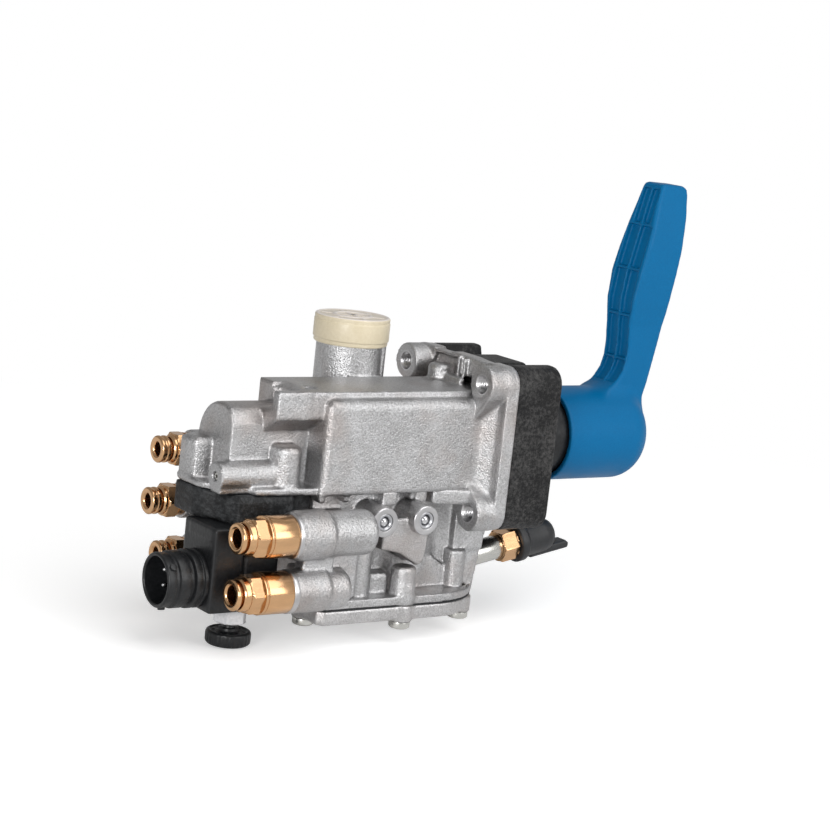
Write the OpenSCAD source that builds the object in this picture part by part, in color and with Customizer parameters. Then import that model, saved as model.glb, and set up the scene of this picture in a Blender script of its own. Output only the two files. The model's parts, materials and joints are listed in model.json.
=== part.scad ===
// Raise and lower valve for a trailer's air suspension, with a hand lever.
// X runs along the lever's shaft, towards the lever. Z is up.
// The origin is the centre of the four mounting holes, on the faces of their bosses.

/* [Flange and mounting holes] */
// Distance between the mounting holes, both ways
mount_pitch = 60; // [50:1:80]
// Radius of the tapped mounting holes
mount_hole_r = 3.4; // [2:0.1:5]
// Radius of the bosses around the mounting holes
mount_boss_r = 8.6; // [6:0.1:12]
// Height of the bosses above the flange plate
mount_boss_h = 9; // [4:0.5:16]
// Thickness of the flange plate
flange_t = 7; // [4:0.5:12]

/* [Upper body] */
// Distance of the near face of the front bulge from the shaft's axis
bulge_near = 27; // [24:0.5:32]
// Length of the front bulge, left of the mounting faces
bulge_len = 79; // [70:1:90]
// Height of the front bulge above the shaft's axis
bulge_top = 22.6; // [18:0.2:24]
// Rounding of the front bulge's upper and left edges
bulge_round = 4.5; // [2:0.5:8]
// Depth of the upper body below the shaft's axis
body_low = 20.5; // [18:0.5:26]
// Height of the upper body's flat top above the axis
top_z = 25.4; // [24:0.2:32]
// Distance of the top's near edge from the axis
top_near = 22; // [18:0.5:26]
// Distance of the top's far edge from the axis
top_far = 14.6; // [12:0.2:24]
// Length of the top band's near ear, left of the mounting faces
top_len = 103; // [95:1:110]
// Set back of the top's end face behind the ear
top_back = 15; // [8:1:18]
// Thickness of the ear
ear_t = 5.5; // [4:0.5:8]
// Height of the lower edge of the top band
band_z = 13.4; // [10:0.2:18]
// Height where the band's slanted underside meets the nose wall
band_foot_z = 6; // [3:0.2:9]
// Distance of the far shoulder's face from the axis
shoulder_far = 32; // [26:0.5:40]
// Height of the far shoulder above the axis
shoulder_z = 19; // [14:0.5:24]

/* [Nose] */
// Length of the nose, left of the mounting faces
nose_len = 118.7; // [112:0.5:130]
// Radius of the nose around the shaft's axis
nose_r = 17.3; // [15:0.1:20]
// Distance of the nose's flat near wall from the axis
nose_near = 10.8; // [10:0.1:13]
// Radius of the nose's upper near corner
nose_corner_r = 7; // [3:0.5:9]
// Thickness of the lip along the nose's foot
lip_t = 3; // [2:0.5:5]
// Reach of the lip to the left
lip_len = 127.4; // [122:0.5:136]
// Distance of the lip's far edge from the axis
lip_far = 17.5; // [16:0.5:27]
// Radius of the domed screw bosses on the lip
dome_r = 6.9; // [5:0.1:9]
// Height of the domed screw bosses above the shaft's axis
dome_z = 0.5; // [-5:0.5:5]
// Radius of the tube boss on the nose
tube_boss_r = 6.4; // [5:0.1:8]
// Length of the tube boss
tube_boss_len = 29; // [20:1:34]

/* [Filter neck] */
// Place of the filter neck along the shaft, left of the mounting faces
neck_x = 34; // [25:1:50]
// Distance of the filter neck from the shaft's axis
neck_y = 29; // [20:0.5:34]
// Outer radius of the filter neck
neck_r = 15.8; // [12:0.2:20]
// Inner radius of the filter neck
neck_bore_r = 12.5; // [9:0.2:14]
// Outer radius of the filter cap
cap_r = 17.8; // [16.8:0.2:24]
// Height of the filter cap
cap_h = 13.6; // [8:0.2:20]
// Height of the filter cap's top above the shaft's axis
cap_top = 52.2; // [45:0.2:70]

/* [Port body and base cover] */
// Height of the port body's foot below the shaft's axis
foot_z = 71; // [68:0.5:80]
// Half width of the port body's core
core_half = 20; // [18:0.5:24]
// Half width of the base cover
cover_half = 33; // [28:0.5:38]
// Reach of the cover's left edge, left of the mounting faces
cover_left = 78; // [74:0.5:86]
// Reach of the cover's rounded right end, right of the mounting faces
cover_right = 21.5; // [18:0.5:30]
// Thickness of the base cover
cover_t = 7; // [4:0.5:10]
// Thickness of the base gasket
gasket_t = 0.5; // [0.3:0.1:1]
// Thickness of the port body's foot rim
rim_t = 4; // [2:0.5:6]
// Radius of the cover screws' shanks
cover_screw_r = 2.9; // [2:0.1:4]

/* [Tube ports] */
// Distance of the tube ports from the shaft's axis
port_y = 35; // [34:0.5:40]
// Depth of the upper ports below the shaft's axis
port_upper_z = 35; // [32:0.5:38]
// Depth of the lower ports below the shaft's axis
port_lower_z = 60; // [57:0.5:62]
// Depth of the third far port below the shaft's axis
port_third_z = 11.4; // [9:0.2:13]
// Reach of the near port bosses, left of the mounting faces
near_face = 99.5; // [92:0.5:102]
// Reach of the far top port's boss, left of the mounting faces
far_face = 112; // [104:0.5:116]
// Outer diameter of the near tubes
near_tube_d = 8; // [6:0.5:10]
// Outer diameter of the far tubes
far_tube_d = 6; // [4:0.5:8]
// Radius of the near upper port boss
upper_boss_r = 11; // [10:0.1:13]
// Radius of the near lower port boss
lower_boss_r = 9.6; // [9.5:0.1:10.5]
// Press travel of the release collets
collet_travel = 1.2; // [0.8:0.1:1.6]

/* [Pilot block and connector] */
// Thickness of the black pilot plate
pilot_t = 13.2; // [8:0.1:16]
// Reach of the pilot plate to the left
pilot_len = 127.6; // [122:0.2:134]
// Height of the solenoid block
block_h = 38; // [34:0.2:42]
// Reach of the solenoid block's left face
block_left = 129.8; // [126:0.2:134]
// Reach of the solenoid block's right face
block_right = 96; // [90:0.5:102]
// Distance of the block's near face from the shaft's axis
block_near = 24; // [21:0.5:24.5]
// Distance of the block's far face from the shaft's axis
block_far = 3; // [2:0.5:8]
// Outer radius of the connector's mouth
plug_r = 12.1; // [10:0.1:13]
// Wall of the connector's mouth
plug_wall = 1.9; // [1.2:0.1:3]
// Length of the connector, left of the block
plug_len = 19.5; // [14:0.5:30]
// Distance of the connector from the shaft's axis
plug_y = 10; // [8:0.5:11]
// Depth of the connector below the shaft's axis
plug_z = 58.6; // [56:0.2:60]
// Radius of the vent knob
knob_r = 10.2; // [7:0.1:12]
// Press travel of the vent knob
knob_travel = 2; // [1:0.1:2.4]

/* [Lever and shaft] */
// Thickness of the black spacer frame
frame_t = 25; // [15:0.5:35]
// Gap between the spacer frame and the lever's rim
hub_gap = 22.6; // [16:0.2:28]
// Outer radius of the lever's hub
hub_r = 22.8; // [18:0.1:26]
// Length of the lever's hub
hub_len = 55; // [48:0.5:60]
// Depth of the hollow in the lever's hub
hub_hollow = 16; // [12:0.5:20]
// Wall of the lever's hub around the hollow
hub_wall = 2.4; // [1.5:0.1:4]
// Height of the lever's tip above the shaft's axis
lever_top = 124; // [100:1:150]
// Width of the lever's blade at its root
blade_w = 19; // [16:0.5:24]
// Width of the lever's blade at its tip
tip_w = 13; // [10:0.5:19]
// Rounding of the lever hub's free end
hub_round = 14; // [8:0.5:16]
// Press travel of the lever along its shaft
push_travel = 8; // [4:0.5:9]
// Radius of the lever's shaft
shaft_r = 6; // [5:0.1:7]
// Radius of the rotor
rotor_r = 11.95; // [11:0.05:13]
// Radius of the rotor's rear journal
journal_r = 5.95; // [5:0.05:6.5]
// Radius of the black collar inside the hub
collar_r = 19.8; // [16:0.1:20]

/* [Test point] */
// Upward tilt of the test point, in degrees
test_tilt = 10.5; // [0:0.5:25]
// Distance of the test point from the shaft's axis
test_y = 10; // [6:0.5:14]
// Depth of the test point's root below the shaft's axis
test_z = 57; // [54:0.5:60]
// Pull of the dust cap until it is off
cap_travel = 14; // [10:1:24]

/* [Fits] */
// Radial clearance of the running fits
run_fit = 0.05; // [0.02:0.01:0.1]
// Gap between pieces that move past each other
move_gap = 0.4; // [0.3:0.05:0.8]

/* [Hidden] */
$fn = 48;
hull_fn = 32;
eps = 0.01;

// Flange and frame
mount_half = mount_pitch / 2;
flange_x0 = mount_boss_h;
flange_x1 = flange_x0 + flange_t;
frame_x1 = flange_x1 + frame_t;
hub_x0 = frame_x1 + hub_gap;
hub_x1 = hub_x0 + hub_len;
hub_web_x = hub_x0 + hub_hollow;
rib_reach = mount_half + mount_boss_r;
wedge_x = 3;
wedge_out = 5.6;
wedge_half = 18;
boss_step = 0.1;

// Bores along the shaft
rotor_bore_r = rotor_r + run_fit;
journal_bore_r = journal_r + run_fit;
shaft_bore_r = shaft_r + run_fit;
journal_x1 = -bulge_len + 3;
journal_x0 = -nose_len + 7;
bush_len = 10;
rotor_x1 = -push_travel - 3;
rotor_x0 = journal_x1 + 1;
hex_af = 9;
hex_gap = 0.2;
hex_x1 = rotor_x1 - 3;
hex_x0 = hex_x1 - 26;
circlip_t = 1.2;

// Lip and pilot block
lip_z0 = -body_low;
lip_z1 = lip_z0 + lip_t;
dome_near = [-(top_len - 11), -(nose_near + 4.2)];
dome_left = [-(lip_len - dome_r), nose_near];
dome_far = [-(top_len - 11), lip_far - dome_r];
tube_boss_y = -(nose_near + 1.2);
tube_boss_z = lip_z1 + tube_boss_r - 2;
tube_boss_x0 = -(nose_len + 7);
pilot_z0 = lip_z0 - pilot_t;
pilot_right = cover_left;
web_x0 = -cover_left + 1;
pilot_near = block_near - 3.5;
block_z1 = pilot_z0;
block_z0 = block_z1 - block_h;
coil_x = -(block_right + block_left) / 2 + 7;
coil_y = (block_far - block_near) / 2;
coil_r = 9.6;
coil_wall = 0.2;
knob_x = -(block_right + block_left) / 2 + 1.8;
knob_y = -12;
knob_h = 6.6;
knob_gap = 3.5;
knob_stem_r = 2.6;
nut_af = 13.5;
nut_h = 7.4;
pin_ring_r = 5;
pin_at = [for (a = [45, 135, 225, 315]) [-plug_y + pin_ring_r * cos(a), -plug_z + pin_ring_r * sin(a)]];

// Port body and its two valve chambers
rim_z1 = -foot_z + rim_t;
gasket_z0 = -foot_z - gasket_t;
cover_z0 = gasket_z0 - cover_t;
cover_end_r = cover_half;
cover_end_x = cover_right - cover_end_r;
piston_r = 12.95;
piston_bore_r = piston_r + run_fit;
stem_r = 5.95;
stem_bore_r = stem_r + run_fit;
left_x = -52;
right_x = -20;
chamber_top = -48;
piston_z0 = -foot_z + 9;
piston_t = 8;
piston_travel = 3;
stem_top = -36;
stem_bore_top = -31;
core_left = cover_left;
core_right = flange_x0 + 3;
screw_hole_r = cover_screw_r + 0.05;
screw_len = 12;
screw_head_r = 4.9;
screw_head_h = 3.3;
cover_screw_at = [[-31, -(cover_half - 4)], [-31, cover_half - 4], [-(cover_left - 5), -13],
    [-(cover_left - 5), 13], [cover_right - 13.5, -21], [cover_right - 13.5, 21]];
wall_half = 22;
wall_in = core_half - 5;
wall_lean = 3;

// Gallery plugs
plug_face_y = -(port_y + 1.5);
gallery_z = -31;
gallery_r = 2.5;
gallery_x = [-50, -27.5];
gallery_boss_r = 6.8;
gallery_hole_r = 3.9;
ball_r = 2.3;

// Fittings: [tube radius, body radius, body length, hexagon width, hexagon length, neck radius,
// neck length, groove radius, collet head radius, collet head length, thread radius, thread length]
near_fit = [near_tube_d / 2, 9.4, 14.3, 16, 6.3, 7.5, 3.1, 5.9, 6.9, 1.7, 6.6, 11];
far_fit = [far_tube_d / 2, 7.2, 3, 14, 6, 6.4, 1.7, 5, 6.15, 4.4, 5.6, 9];
groove_len = collet_travel + 0.3;
collet_deep = 9;
socket_deep = 13;
passage_r = 2.4;
far_middle_face = far_face + 2.6;
far_bottom_face = far_face - 4;
far_boss_r = 8.6;

// Neck and cap
neck_at = [-neck_x, neck_y];
neck_top = cap_top - 3;
cap_z0 = cap_top - cap_h;

// Seals of the rotor
seal_x = [for (i = [0:3]) rotor_x0 + 14 + i * (rotor_x1 - rotor_x0 - 18) / 3];
seal_wire = 1.3;

// Detent under the rotor
detent_x = rotor_x0 + 7;
detent_depth = 1.6;
detent_ball_r = 3;
detent_ball_z = -(rotor_r - detent_depth + move_gap + detent_ball_r);
detent_bore_r = detent_ball_r + 0.05;
detent_plug_z = -22;

// Lever hub and its spring
collar_len = hub_gap + hub_hollow - push_travel - move_gap * 2;
frame_bore_r = collar_r - 3;
frame_screw_r = 2.5;
frame_screw_at = [for (y = [-1, 1], z = [-1, 1]) [y * (mount_half - 8), z * (mount_half - 8)]];
collar_x1 = frame_x1 + collar_len;
spring_r = 10;
spring_wire_r = 0.9;
pin_r = 2;
pin_x = hub_web_x + 9;
shaft_end_x = hub_x1 - 16;
lever_reach = 70;
blade_mid_z = 45;
pocket_z = [[40, 58], [61, 80.5], [83.5, 102.5], [105.5, lever_top - 3]];
pocket_wall = 1.6;
pocket_rib = 1.2;

// Test point
test_at = [14, -test_y, -test_z];
test_nose_r = 5.6;
test_cap_r = 9.8;

function pi_deg(i, n) = 360 * i / n;

module along_x(x0, x1) {
    translate([x0, 0, 0]) rotate([90, 0, 90]) linear_extrude(x1 - x0) children();
}
module rod_x(r, x0, x1, y = 0, z = 0) {
    translate([x0, y, z]) rotate([0, 90, 0]) cylinder(r = r, h = x1 - x0);
}
module rod_y(r, y0, y1, x = 0, z = 0) {
    translate([x, y1, z]) rotate([90, 0, 0]) cylinder(r = r, h = y1 - y0);
}
module rod_z(r, z0, z1, x = 0, y = 0) {
    translate([x, y, z0]) cylinder(r = r, h = z1 - z0);
}
module slab(lo, hi) {
    translate(lo) cube(hi - lo);
}
module hex_x(af, x0, x1, y = 0, z = 0, turn = 0) {
    translate([x0, y, z]) rotate([turn, 0, 0]) rotate([0, 90, 0])
        cylinder(r = af / sqrt(3), h = x1 - x0, $fn = 6);
}
module round_rect(hy, z0, z1, r) {
    // A rounded rectangle from -hy to hy and from z0 to z1.
    translate([-hy + r, z0]) square([2 * (hy - r), z1 - z0]);
    translate([-hy, z0 + r]) square([2 * hy, z1 - z0 - 2 * r]);
    for (y = [-hy + r, hy - r], z = [z0 + r, z1 - r]) translate([y, z]) circle(r);
}
module ring_x(r_mid, r_wire, x, y = 0, z = 0) {
    translate([x, y, z]) rotate([0, 90, 0]) rotate_extrude() translate([r_mid, 0]) circle(r_wire, $fn = 24);
}
module coil(r, wire, h, turns) {
    // An upright coil spring: short straight links along a helix, closed by its own end turns.
    steps = 12;
    n = turns * steps;
    points = [for (i = [0:n]) for (j = [0:5])
        let (a = 360 * i / steps, b = pi_deg(j, 6), q = r + wire * cos(b))
        [q * cos(a), q * sin(a), wire + (h - 2 * wire) * i / n + wire * sin(b)]];
    side = [for (i = [0:n - 1]) for (j = [0:5])
        [i * 6 + j, (i + 1) * 6 + j, (i + 1) * 6 + (j + 1) % 6, i * 6 + (j + 1) % 6]];
    polyhedron(points, concat(side, [[for (j = [0:5]) j]], [[for (j = [5:-1:0]) n * 6 + j]]));
}

// Outlines in the plane across the shaft: first Y, then Z

module nose_outline() {
    corner_y = -nose_near + nose_corner_r;
    corner_z = nose_r - 0.4 - nose_corner_r;
    intersection() {
        circle(nose_r);
        translate([corner_y, -body_low]) square([2 * nose_r, 2 * nose_r + body_low]);
    }
    translate([corner_y, corner_z]) circle(nose_corner_r);
    translate([-nose_near, -body_low]) square([nose_near, body_low + corner_z]);
    translate([-eps, -body_low]) square([nose_r + eps, body_low + eps]);
    translate([corner_y, 0]) square([-corner_y, corner_z + nose_corner_r]);
}
module band_outline() {
    polygon([[-top_near, top_z], [-top_near, band_z], [-nose_near, band_foot_z], [-nose_near, 0],
        [top_far, 0], [top_far, top_z]]);
}
module ear_outline() {
    polygon([[-top_near, top_z], [-top_near, band_z], [-nose_near, band_foot_z], [-nose_corner_r, band_foot_z],
        [-nose_corner_r, nose_r - 1], [-top_near + ear_t, nose_r + 1], [-top_near + ear_t, top_z]]);
}
module bulge_outline() {
    round = bulge_round;
    translate([-bulge_near, lip_z0]) square([bulge_near, bulge_top - round - lip_z0]);
    translate([-bulge_near + round, lip_z0]) square([bulge_near - round, bulge_top - lip_z0]);
    translate([-bulge_near + round, bulge_top - round]) circle(round);
    translate([0, lip_z0]) square([shoulder_far - round, shoulder_z - lip_z0]);
    translate([0, lip_z0]) square([shoulder_far, shoulder_z - round - lip_z0]);
    translate([shoulder_far - round, shoulder_z - round]) circle(round);
}
module flange_outline() {
    round_rect(rib_reach, -rib_reach, rib_reach, mount_boss_r);
}
module frame_outline() {
    // The upper edge is lower between its two ears, with a valley on each side of the middle rib.
    dip = rib_reach - 2.3;
    valley = rib_reach - 5;
    difference() {
        flange_outline();
        translate([-(mount_half - 4), dip]) square([2 * mount_half - 8, mount_boss_r]);
        translate([-(mount_half - 4), valley]) square([mount_half - 14, mount_boss_r]);
        translate([mount_half - 16, valley]) square([10, mount_boss_r]);
    }
}

// Outlines in plan: first X, then Y

module bulge_plan() {
    round = bulge_round;
    translate([-bulge_len + round, -bulge_near]) square([bulge_len - round + flange_x1, round]);
    translate([-bulge_len, -bulge_near + round]) square([bulge_len + flange_x1, bulge_near + shoulder_far]);
    translate([-bulge_len + round, -bulge_near + round]) circle(round);
}
module lip_plan() {
    foot_x = -top_len - 4.5;
    foot_near = -bulge_near + 5.5;
    polygon([[-lip_len, lip_far], [-lip_len, -1], [-lip_len + 4, -7], [foot_x, -7],
        [foot_x, foot_near], [-bulge_len + 5, foot_near], [-bulge_len + 5, lip_far]]);
}
module pilot_plan() {
    polygon([[-pilot_len, lip_far], [-pilot_len, 0], [-pilot_len + 5, -8], [-pilot_len + 8, -pilot_near],
        [-pilot_right, -pilot_near], [-pilot_right, lip_far]]);
}
module cover_plan() {
    chamfer = 3;
    polygon([[-cover_left, cover_half - chamfer], [-cover_left, -cover_half + chamfer],
        [-cover_left + chamfer, -cover_half], [cover_end_x, -cover_half], [cover_end_x, cover_half],
        [-cover_left + chamfer, cover_half]]);
    translate([cover_end_x, 0]) circle(cover_end_r, $fn = 96);
}

// Housing: the solid casting, then everything that is cut from it

module port_boss(y, z, r, face, step, x1) {
    rod_x(r, -face, -step, y, z);
    rod_x(r - 0.9, -step - eps, x1, y, z);
}
module side_web(y, z, half_h, x0, x1) {
    side = y < 0 ? -1 : 1;
    slab([x0, side < 0 ? y : core_half - 6, z - half_h], [x1, side < 0 ? -core_half + 6 : y, z + half_h]);
}
module upper_casting() {
    along_x(-top_len + top_back, flange_x0 + 1) band_outline();
    along_x(-top_len, -top_len + top_back + 1) ear_outline();
    along_x(-nose_len, -bulge_len + bulge_round + 1) nose_outline();
    intersection() {
        along_x(-bulge_len, flange_x1) bulge_outline();
        translate([0, 0, lip_z0]) linear_extrude(top_z - lip_z0) bulge_plan();
    }
    // Wedge where the bulge widens into the flange plate
    translate([0, 0, -wedge_half]) linear_extrude(2 * wedge_half)
        polygon([[wedge_x, -bulge_near], [flange_x0 + 1, -bulge_near - wedge_out], [flange_x0 + 1, 0],
            [wedge_x, 0]]);
    rod_z(neck_r, 0, neck_top, neck_at[0], neck_at[1]);
    translate([0, 0, lip_z0]) linear_extrude(lip_t) lip_plan();
    for (at = [dome_near, dome_left, dome_far]) {
        rod_z(dome_r, lip_z0, dome_z - dome_r / 2, at[0], at[1]);
        translate([at[0], at[1], dome_z - dome_r / 2]) intersection() {
            sphere(dome_r);
            cylinder(r = dome_r, h = dome_r / 2);
        }
    }
    rod_x(tube_boss_r, tube_boss_x0, tube_boss_x0 + tube_boss_len, tube_boss_y, tube_boss_z);
    along_x(flange_x0, flange_x1) flange_outline();
    for (y = [-mount_half, mount_half], z = [-mount_half, mount_half])
        rod_x(mount_boss_r - boss_step, 0, flange_x0 + 1, y, z);
    // Rib pad on the flange's upper edge, between the mounting bosses
    rod_z(5, top_z - 6, rib_reach - 4, flange_x0, 13);
    // Far port beside the shaft
    rod_x(far_boss_r, -far_face, -bulge_len + 8, port_y, -port_third_z);
    slab([-bulge_len, core_half, -port_third_z - 6], [-bulge_len + 8, port_y, -port_third_z + 6]);
}
module port_casting() {
    slab([-core_left, -core_half, -foot_z], [flange_x0, core_half, lip_z0]);
    slab([0, -core_half, -foot_z], [core_right, core_half, -rib_reach]);
    translate([0, 0, -foot_z]) linear_extrude(rim_t) cover_plan();
    // Tapered end wall under the flange
    for (y = [-wall_half, wall_in]) translate([0, y, 0]) rotate([90, 0, 0]) mirror([0, 0, 1])
        linear_extrude(wall_half - wall_in)
        polygon([[1, -rib_reach], [flange_x1, -rib_reach], [flange_x1 + wall_lean, -rib_reach - wall_lean / 2],
            [core_right + 2, -foot_z + eps], [2, -foot_z + eps]]);
    port_boss(-port_y, -port_upper_z, upper_boss_r, near_face, 81.5, gallery_x[0] - 8);
    side_web(-port_y, -port_upper_z, upper_boss_r - 3, web_x0, gallery_x[0] - 10);
    port_boss(-port_y, -port_lower_z, lower_boss_r, near_face, 80, -69);
    side_web(-port_y, -port_lower_z, lower_boss_r - 3, -cover_left - 6, -71);
    slab([-near_face + 5, -port_y - 3, -port_lower_z], [-cover_left + 2, -port_y + 3, -port_upper_z]);
    slab([-near_face + 5, -port_y - 3, -port_lower_z], [-near_face + 11, -core_half + 4, -port_upper_z]);
    slab([-near_face + 5, -core_half, -port_lower_z], [-cover_left + 2, -core_half + 4, -port_upper_z]);
    // Far ports
    port_boss(port_y, -port_upper_z, far_boss_r, far_middle_face, 78, -58);
    side_web(port_y, -port_upper_z, 6, web_x0, -60);
    port_boss(port_y, -port_lower_z, far_boss_r, far_bottom_face, 78, -60);
    side_web(port_y, -port_lower_z, 6, web_x0, -62);
    // Gallery bosses and the slanted web under them
    for (x = gallery_x) rod_y(gallery_boss_r, plug_face_y, -core_half + 2, x, gallery_z);
    translate([0, -core_half + 2, 0]) rotate([90, 0, 0]) linear_extrude(cover_half - core_half - 1)
        polygon([[-44, gallery_z - 2], [-24, gallery_z - 2], [-24, gallery_z - 21], [-42, gallery_z - 12]]);
    // Column, boxes and screw pillars standing on the foot rim
    rod_z(5.4, -foot_z, -port_upper_z - 6, -55, -25);
    slab([-49, -27, -foot_z], [-38, -core_half + 2, -58]);
    for (at = cover_screw_at) rod_z(4.6, -foot_z, -foot_z + 18, at[0], at[1]);
    for (side = [-1, 1]) slab([-34.5, min(side * (cover_half - 4), side * core_half - side * 2), -foot_z],
        [-27.5, max(side * (cover_half - 4), side * core_half - side * 2), -foot_z + 14]);
}
module housing_cuts() {
    // Rotor bore from the flange, and its rear journal bore
    rod_x(rotor_bore_r, journal_x1, flange_x1 + 1);
    rod_x(journal_bore_r, journal_x0, journal_x1 + 1);
    // Mounting holes
    for (y = [-mount_half, mount_half], z = [-mount_half, mount_half])
        rod_x(mount_hole_r, -1, flange_x1 + 1, y, z);
    // Filter neck and its passage to the rotor
    rod_z(neck_bore_r, 0, neck_top + 1, neck_at[0], neck_at[1]);
    rod_y(gallery_r, 0, neck_y, neck_at[0], 4);
    // Tapped hole in the tube boss, and the pilot screws' holes
    rod_x(1.65, tube_boss_x0 - 1, tube_boss_x0 + 18, tube_boss_y, tube_boss_z);
    for (at = [dome_near, dome_left, dome_far]) rod_z(2.05, lip_z0 - 1, lip_z0 + 12, at[0], at[1]);
    // Tapped port bores and their passages
    for (p = [[-port_y, -port_upper_z, near_face, near_fit], [-port_y, -port_lower_z, near_face, near_fit],
            [port_y, -port_third_z, far_face, far_fit], [port_y, -port_upper_z, far_middle_face, far_fit],
            [port_y, -port_lower_z, far_bottom_face, far_fit]]) {
        rod_x(p[3][10] + 0.02, -p[2] - 1, -p[2] + p[3][11] + 0.5, p[0], p[1]);
        rod_x(gallery_r, -p[2], -70, p[0], p[1]);
    }
    for (side = [-1, 1]) {
        rod_y(gallery_r, min(0, side * port_y), max(0, side * port_y), -72, -port_upper_z);
        rod_y(gallery_r, min(side * 9, side * port_y), max(side * 9, side * port_y), -68, -port_lower_z);
    }
    rod_y(gallery_r, 0, port_y, -bulge_len + 6, -port_third_z);
    rod_z(gallery_r, -port_upper_z, 0, -72, 0);
    // Galleries behind the two plugs
    for (x = gallery_x) {
        rod_y(gallery_r, plug_face_y, 0, x, gallery_z);
        rod_y(gallery_hole_r, plug_face_y - 1, plug_face_y + 8, x, gallery_z);
    }
    // Valve chambers, guide bores and passages up to the rotor
    for (x = [left_x, right_x]) {
        rod_z(piston_bore_r, -foot_z - 1, chamber_top, x, 0);
        rod_z(stem_bore_r, chamber_top - 1, stem_bore_top, x, 0);
        rod_z(1.5, stem_bore_top - 1, -rotor_r + 1, x, 0);
    }
    // Detent bore, closed from the left valve chamber's side
    rod_z(detent_bore_r, -port_upper_z + 6, -rotor_r + 1, detent_x, 0);
    for (at = cover_screw_at) rod_z(screw_hole_r, -foot_z - 1, -foot_z + screw_len + 0.5, at[0], at[1]);
    // Seat of the test point
    translate(test_at) rotate([0, -test_tilt, 0]) rod_x(4.02, -8, 20);
    // Half-round mark and the shallow ramp at the top's left end
    translate([-83, -top_near + 2.5, top_z + 2.5]) sphere(4);
    translate([-top_len + top_back - 1, -top_near + ear_t, top_z - 3.5])
        cube([4, top_far + top_near, 8]);
}
module valve_housing() {
    color("silver") difference() {
        upper_casting();
        housing_cuts();
    }
}
module port_body() {
    color("silver") difference() {
        port_casting();
        housing_cuts();
    }
}

// Base

module base_cover() {
    color("gainsboro") difference() {
        union() {
            translate([0, 0, cover_z0]) linear_extrude(cover_t) cover_plan();
            for (at = cover_screw_at) rod_z(5.4, cover_z0 - 0.8, gasket_z0, at[0], at[1]);
            for (x = [left_x, right_x]) rod_z(4, gasket_z0 - 1, gasket_z0 + 1.5, x, 0);
        }
        for (at = cover_screw_at) rod_z(screw_hole_r + 0.2, cover_z0 - 2, gasket_z0 + 1, at[0], at[1]);
    }
}
module base_gasket() {
    color("dimgray") difference() {
        translate([0, 0, gasket_z0]) linear_extrude(gasket_t) cover_plan();
        for (x = [left_x, right_x]) rod_z(piston_bore_r, gasket_z0 - 1, -foot_z + 1, x, 0);
        for (at = cover_screw_at) rod_z(screw_hole_r + 0.2, gasket_z0 - 1, -foot_z + 1, at[0], at[1]);
    }
}
module cover_screws() {
    seat = cover_z0 - 0.8;
    color("lightgray") for (at = cover_screw_at) difference() {
        union() {
            rod_z(cover_screw_r, seat - eps, -foot_z + screw_len, at[0], at[1]);
            rod_z(screw_head_r, seat - screw_head_h, seat, at[0], at[1]);
        }
        translate([at[0], at[1], seat - screw_head_h - 1]) cylinder(r = 2.3, h = 3, $fn = 6);
    }
}
module gallery_plugs() {
    color("darkgray") for (x = gallery_x) difference() {
        rod_y(gallery_hole_r - 0.02, plug_face_y + 0.3, plug_face_y + 7, x, gallery_z);
        rod_y(ball_r + 0.02, plug_face_y - 1, plug_face_y + 8, x, gallery_z);
    }
}
module gallery_balls() {
    color("white") for (x = gallery_x) translate([x, plug_face_y + 3.2, gallery_z]) sphere(ball_r);
}
module stop_screw() {
    color("dimgray") difference() {
        rod_x(1.6, tube_boss_x0 + 1, tube_boss_x0 + 16, tube_boss_y, tube_boss_z);
        hex_x(1.5, tube_boss_x0, tube_boss_x0 + 3, tube_boss_y, tube_boss_z);
    }
}

// Filter on the neck

module filter_cap() {
    color("wheat") translate([neck_at[0], neck_at[1], 0]) difference() {
        union() {
            rod_z(cap_r - 0.6, cap_z0, cap_z0 + 2.2);
            rod_z(cap_r, cap_z0 + 2, cap_top);
        }
        rod_z(neck_r + 0.1, cap_z0 - 1, neck_top);
        for (i = [0:5]) rotate(pi_deg(i, 6)) translate([neck_bore_r - 4, 0, cap_top - 1]) cylinder(r = 2, h = 2);
    }
}
module filter_element() {
    color("gray") rod_z(neck_bore_r - 0.1, 12, neck_top - 0.5, neck_at[0], neck_at[1]);
}

// Pilot block under the nose

module pilot_plate() {
    color("black") difference() {
        translate([0, 0, pilot_z0]) linear_extrude(pilot_t) pilot_plan();
        for (at = [dome_near, dome_left, dome_far]) {
            rod_z(2.3, pilot_z0 - 1, lip_z0 + 1, at[0], at[1]);
            rod_z(4.2, pilot_z0 - 1, pilot_z0 + 4, at[0], at[1]);
        }
    }
}
module pilot_screws() {
    color("silver") for (at = [dome_near, dome_left, dome_far]) difference() {
        union() {
            rod_z(2, pilot_z0 + 0.5, lip_z0 + 11, at[0], at[1]);
            rod_z(4, pilot_z0 + 0.2, pilot_z0 + 4, at[0], at[1]);
        }
        translate([at[0], at[1], pilot_z0 - 1]) cylinder(r = 1.8, h = 3, $fn = 6);
    }
}
module solenoid_block() {
    round = 2;
    color("black") difference() {
        translate([0, 0, block_z0]) linear_extrude(block_h)
            translate([-(block_left + block_right) / 2, (block_far - block_near) / 2]) rotate(90)
            round_rect((block_far + block_near) / 2, -(block_left - block_right) / 2,
                (block_left - block_right) / 2, round);
        // Cavity of the coil
        rod_z(coil_r + coil_wall, block_z1 - 26, block_z1 - 4, coil_x, coil_y);
        // Stem bore of the vent knob
        rod_z(knob_stem_r, block_z0 - 1, block_z0 + 8, knob_x, knob_y);
        // Seat of the connector
        rod_x(6, -block_left - 1, -block_left + 6, -plug_y, -plug_z);
    }
}
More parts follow.
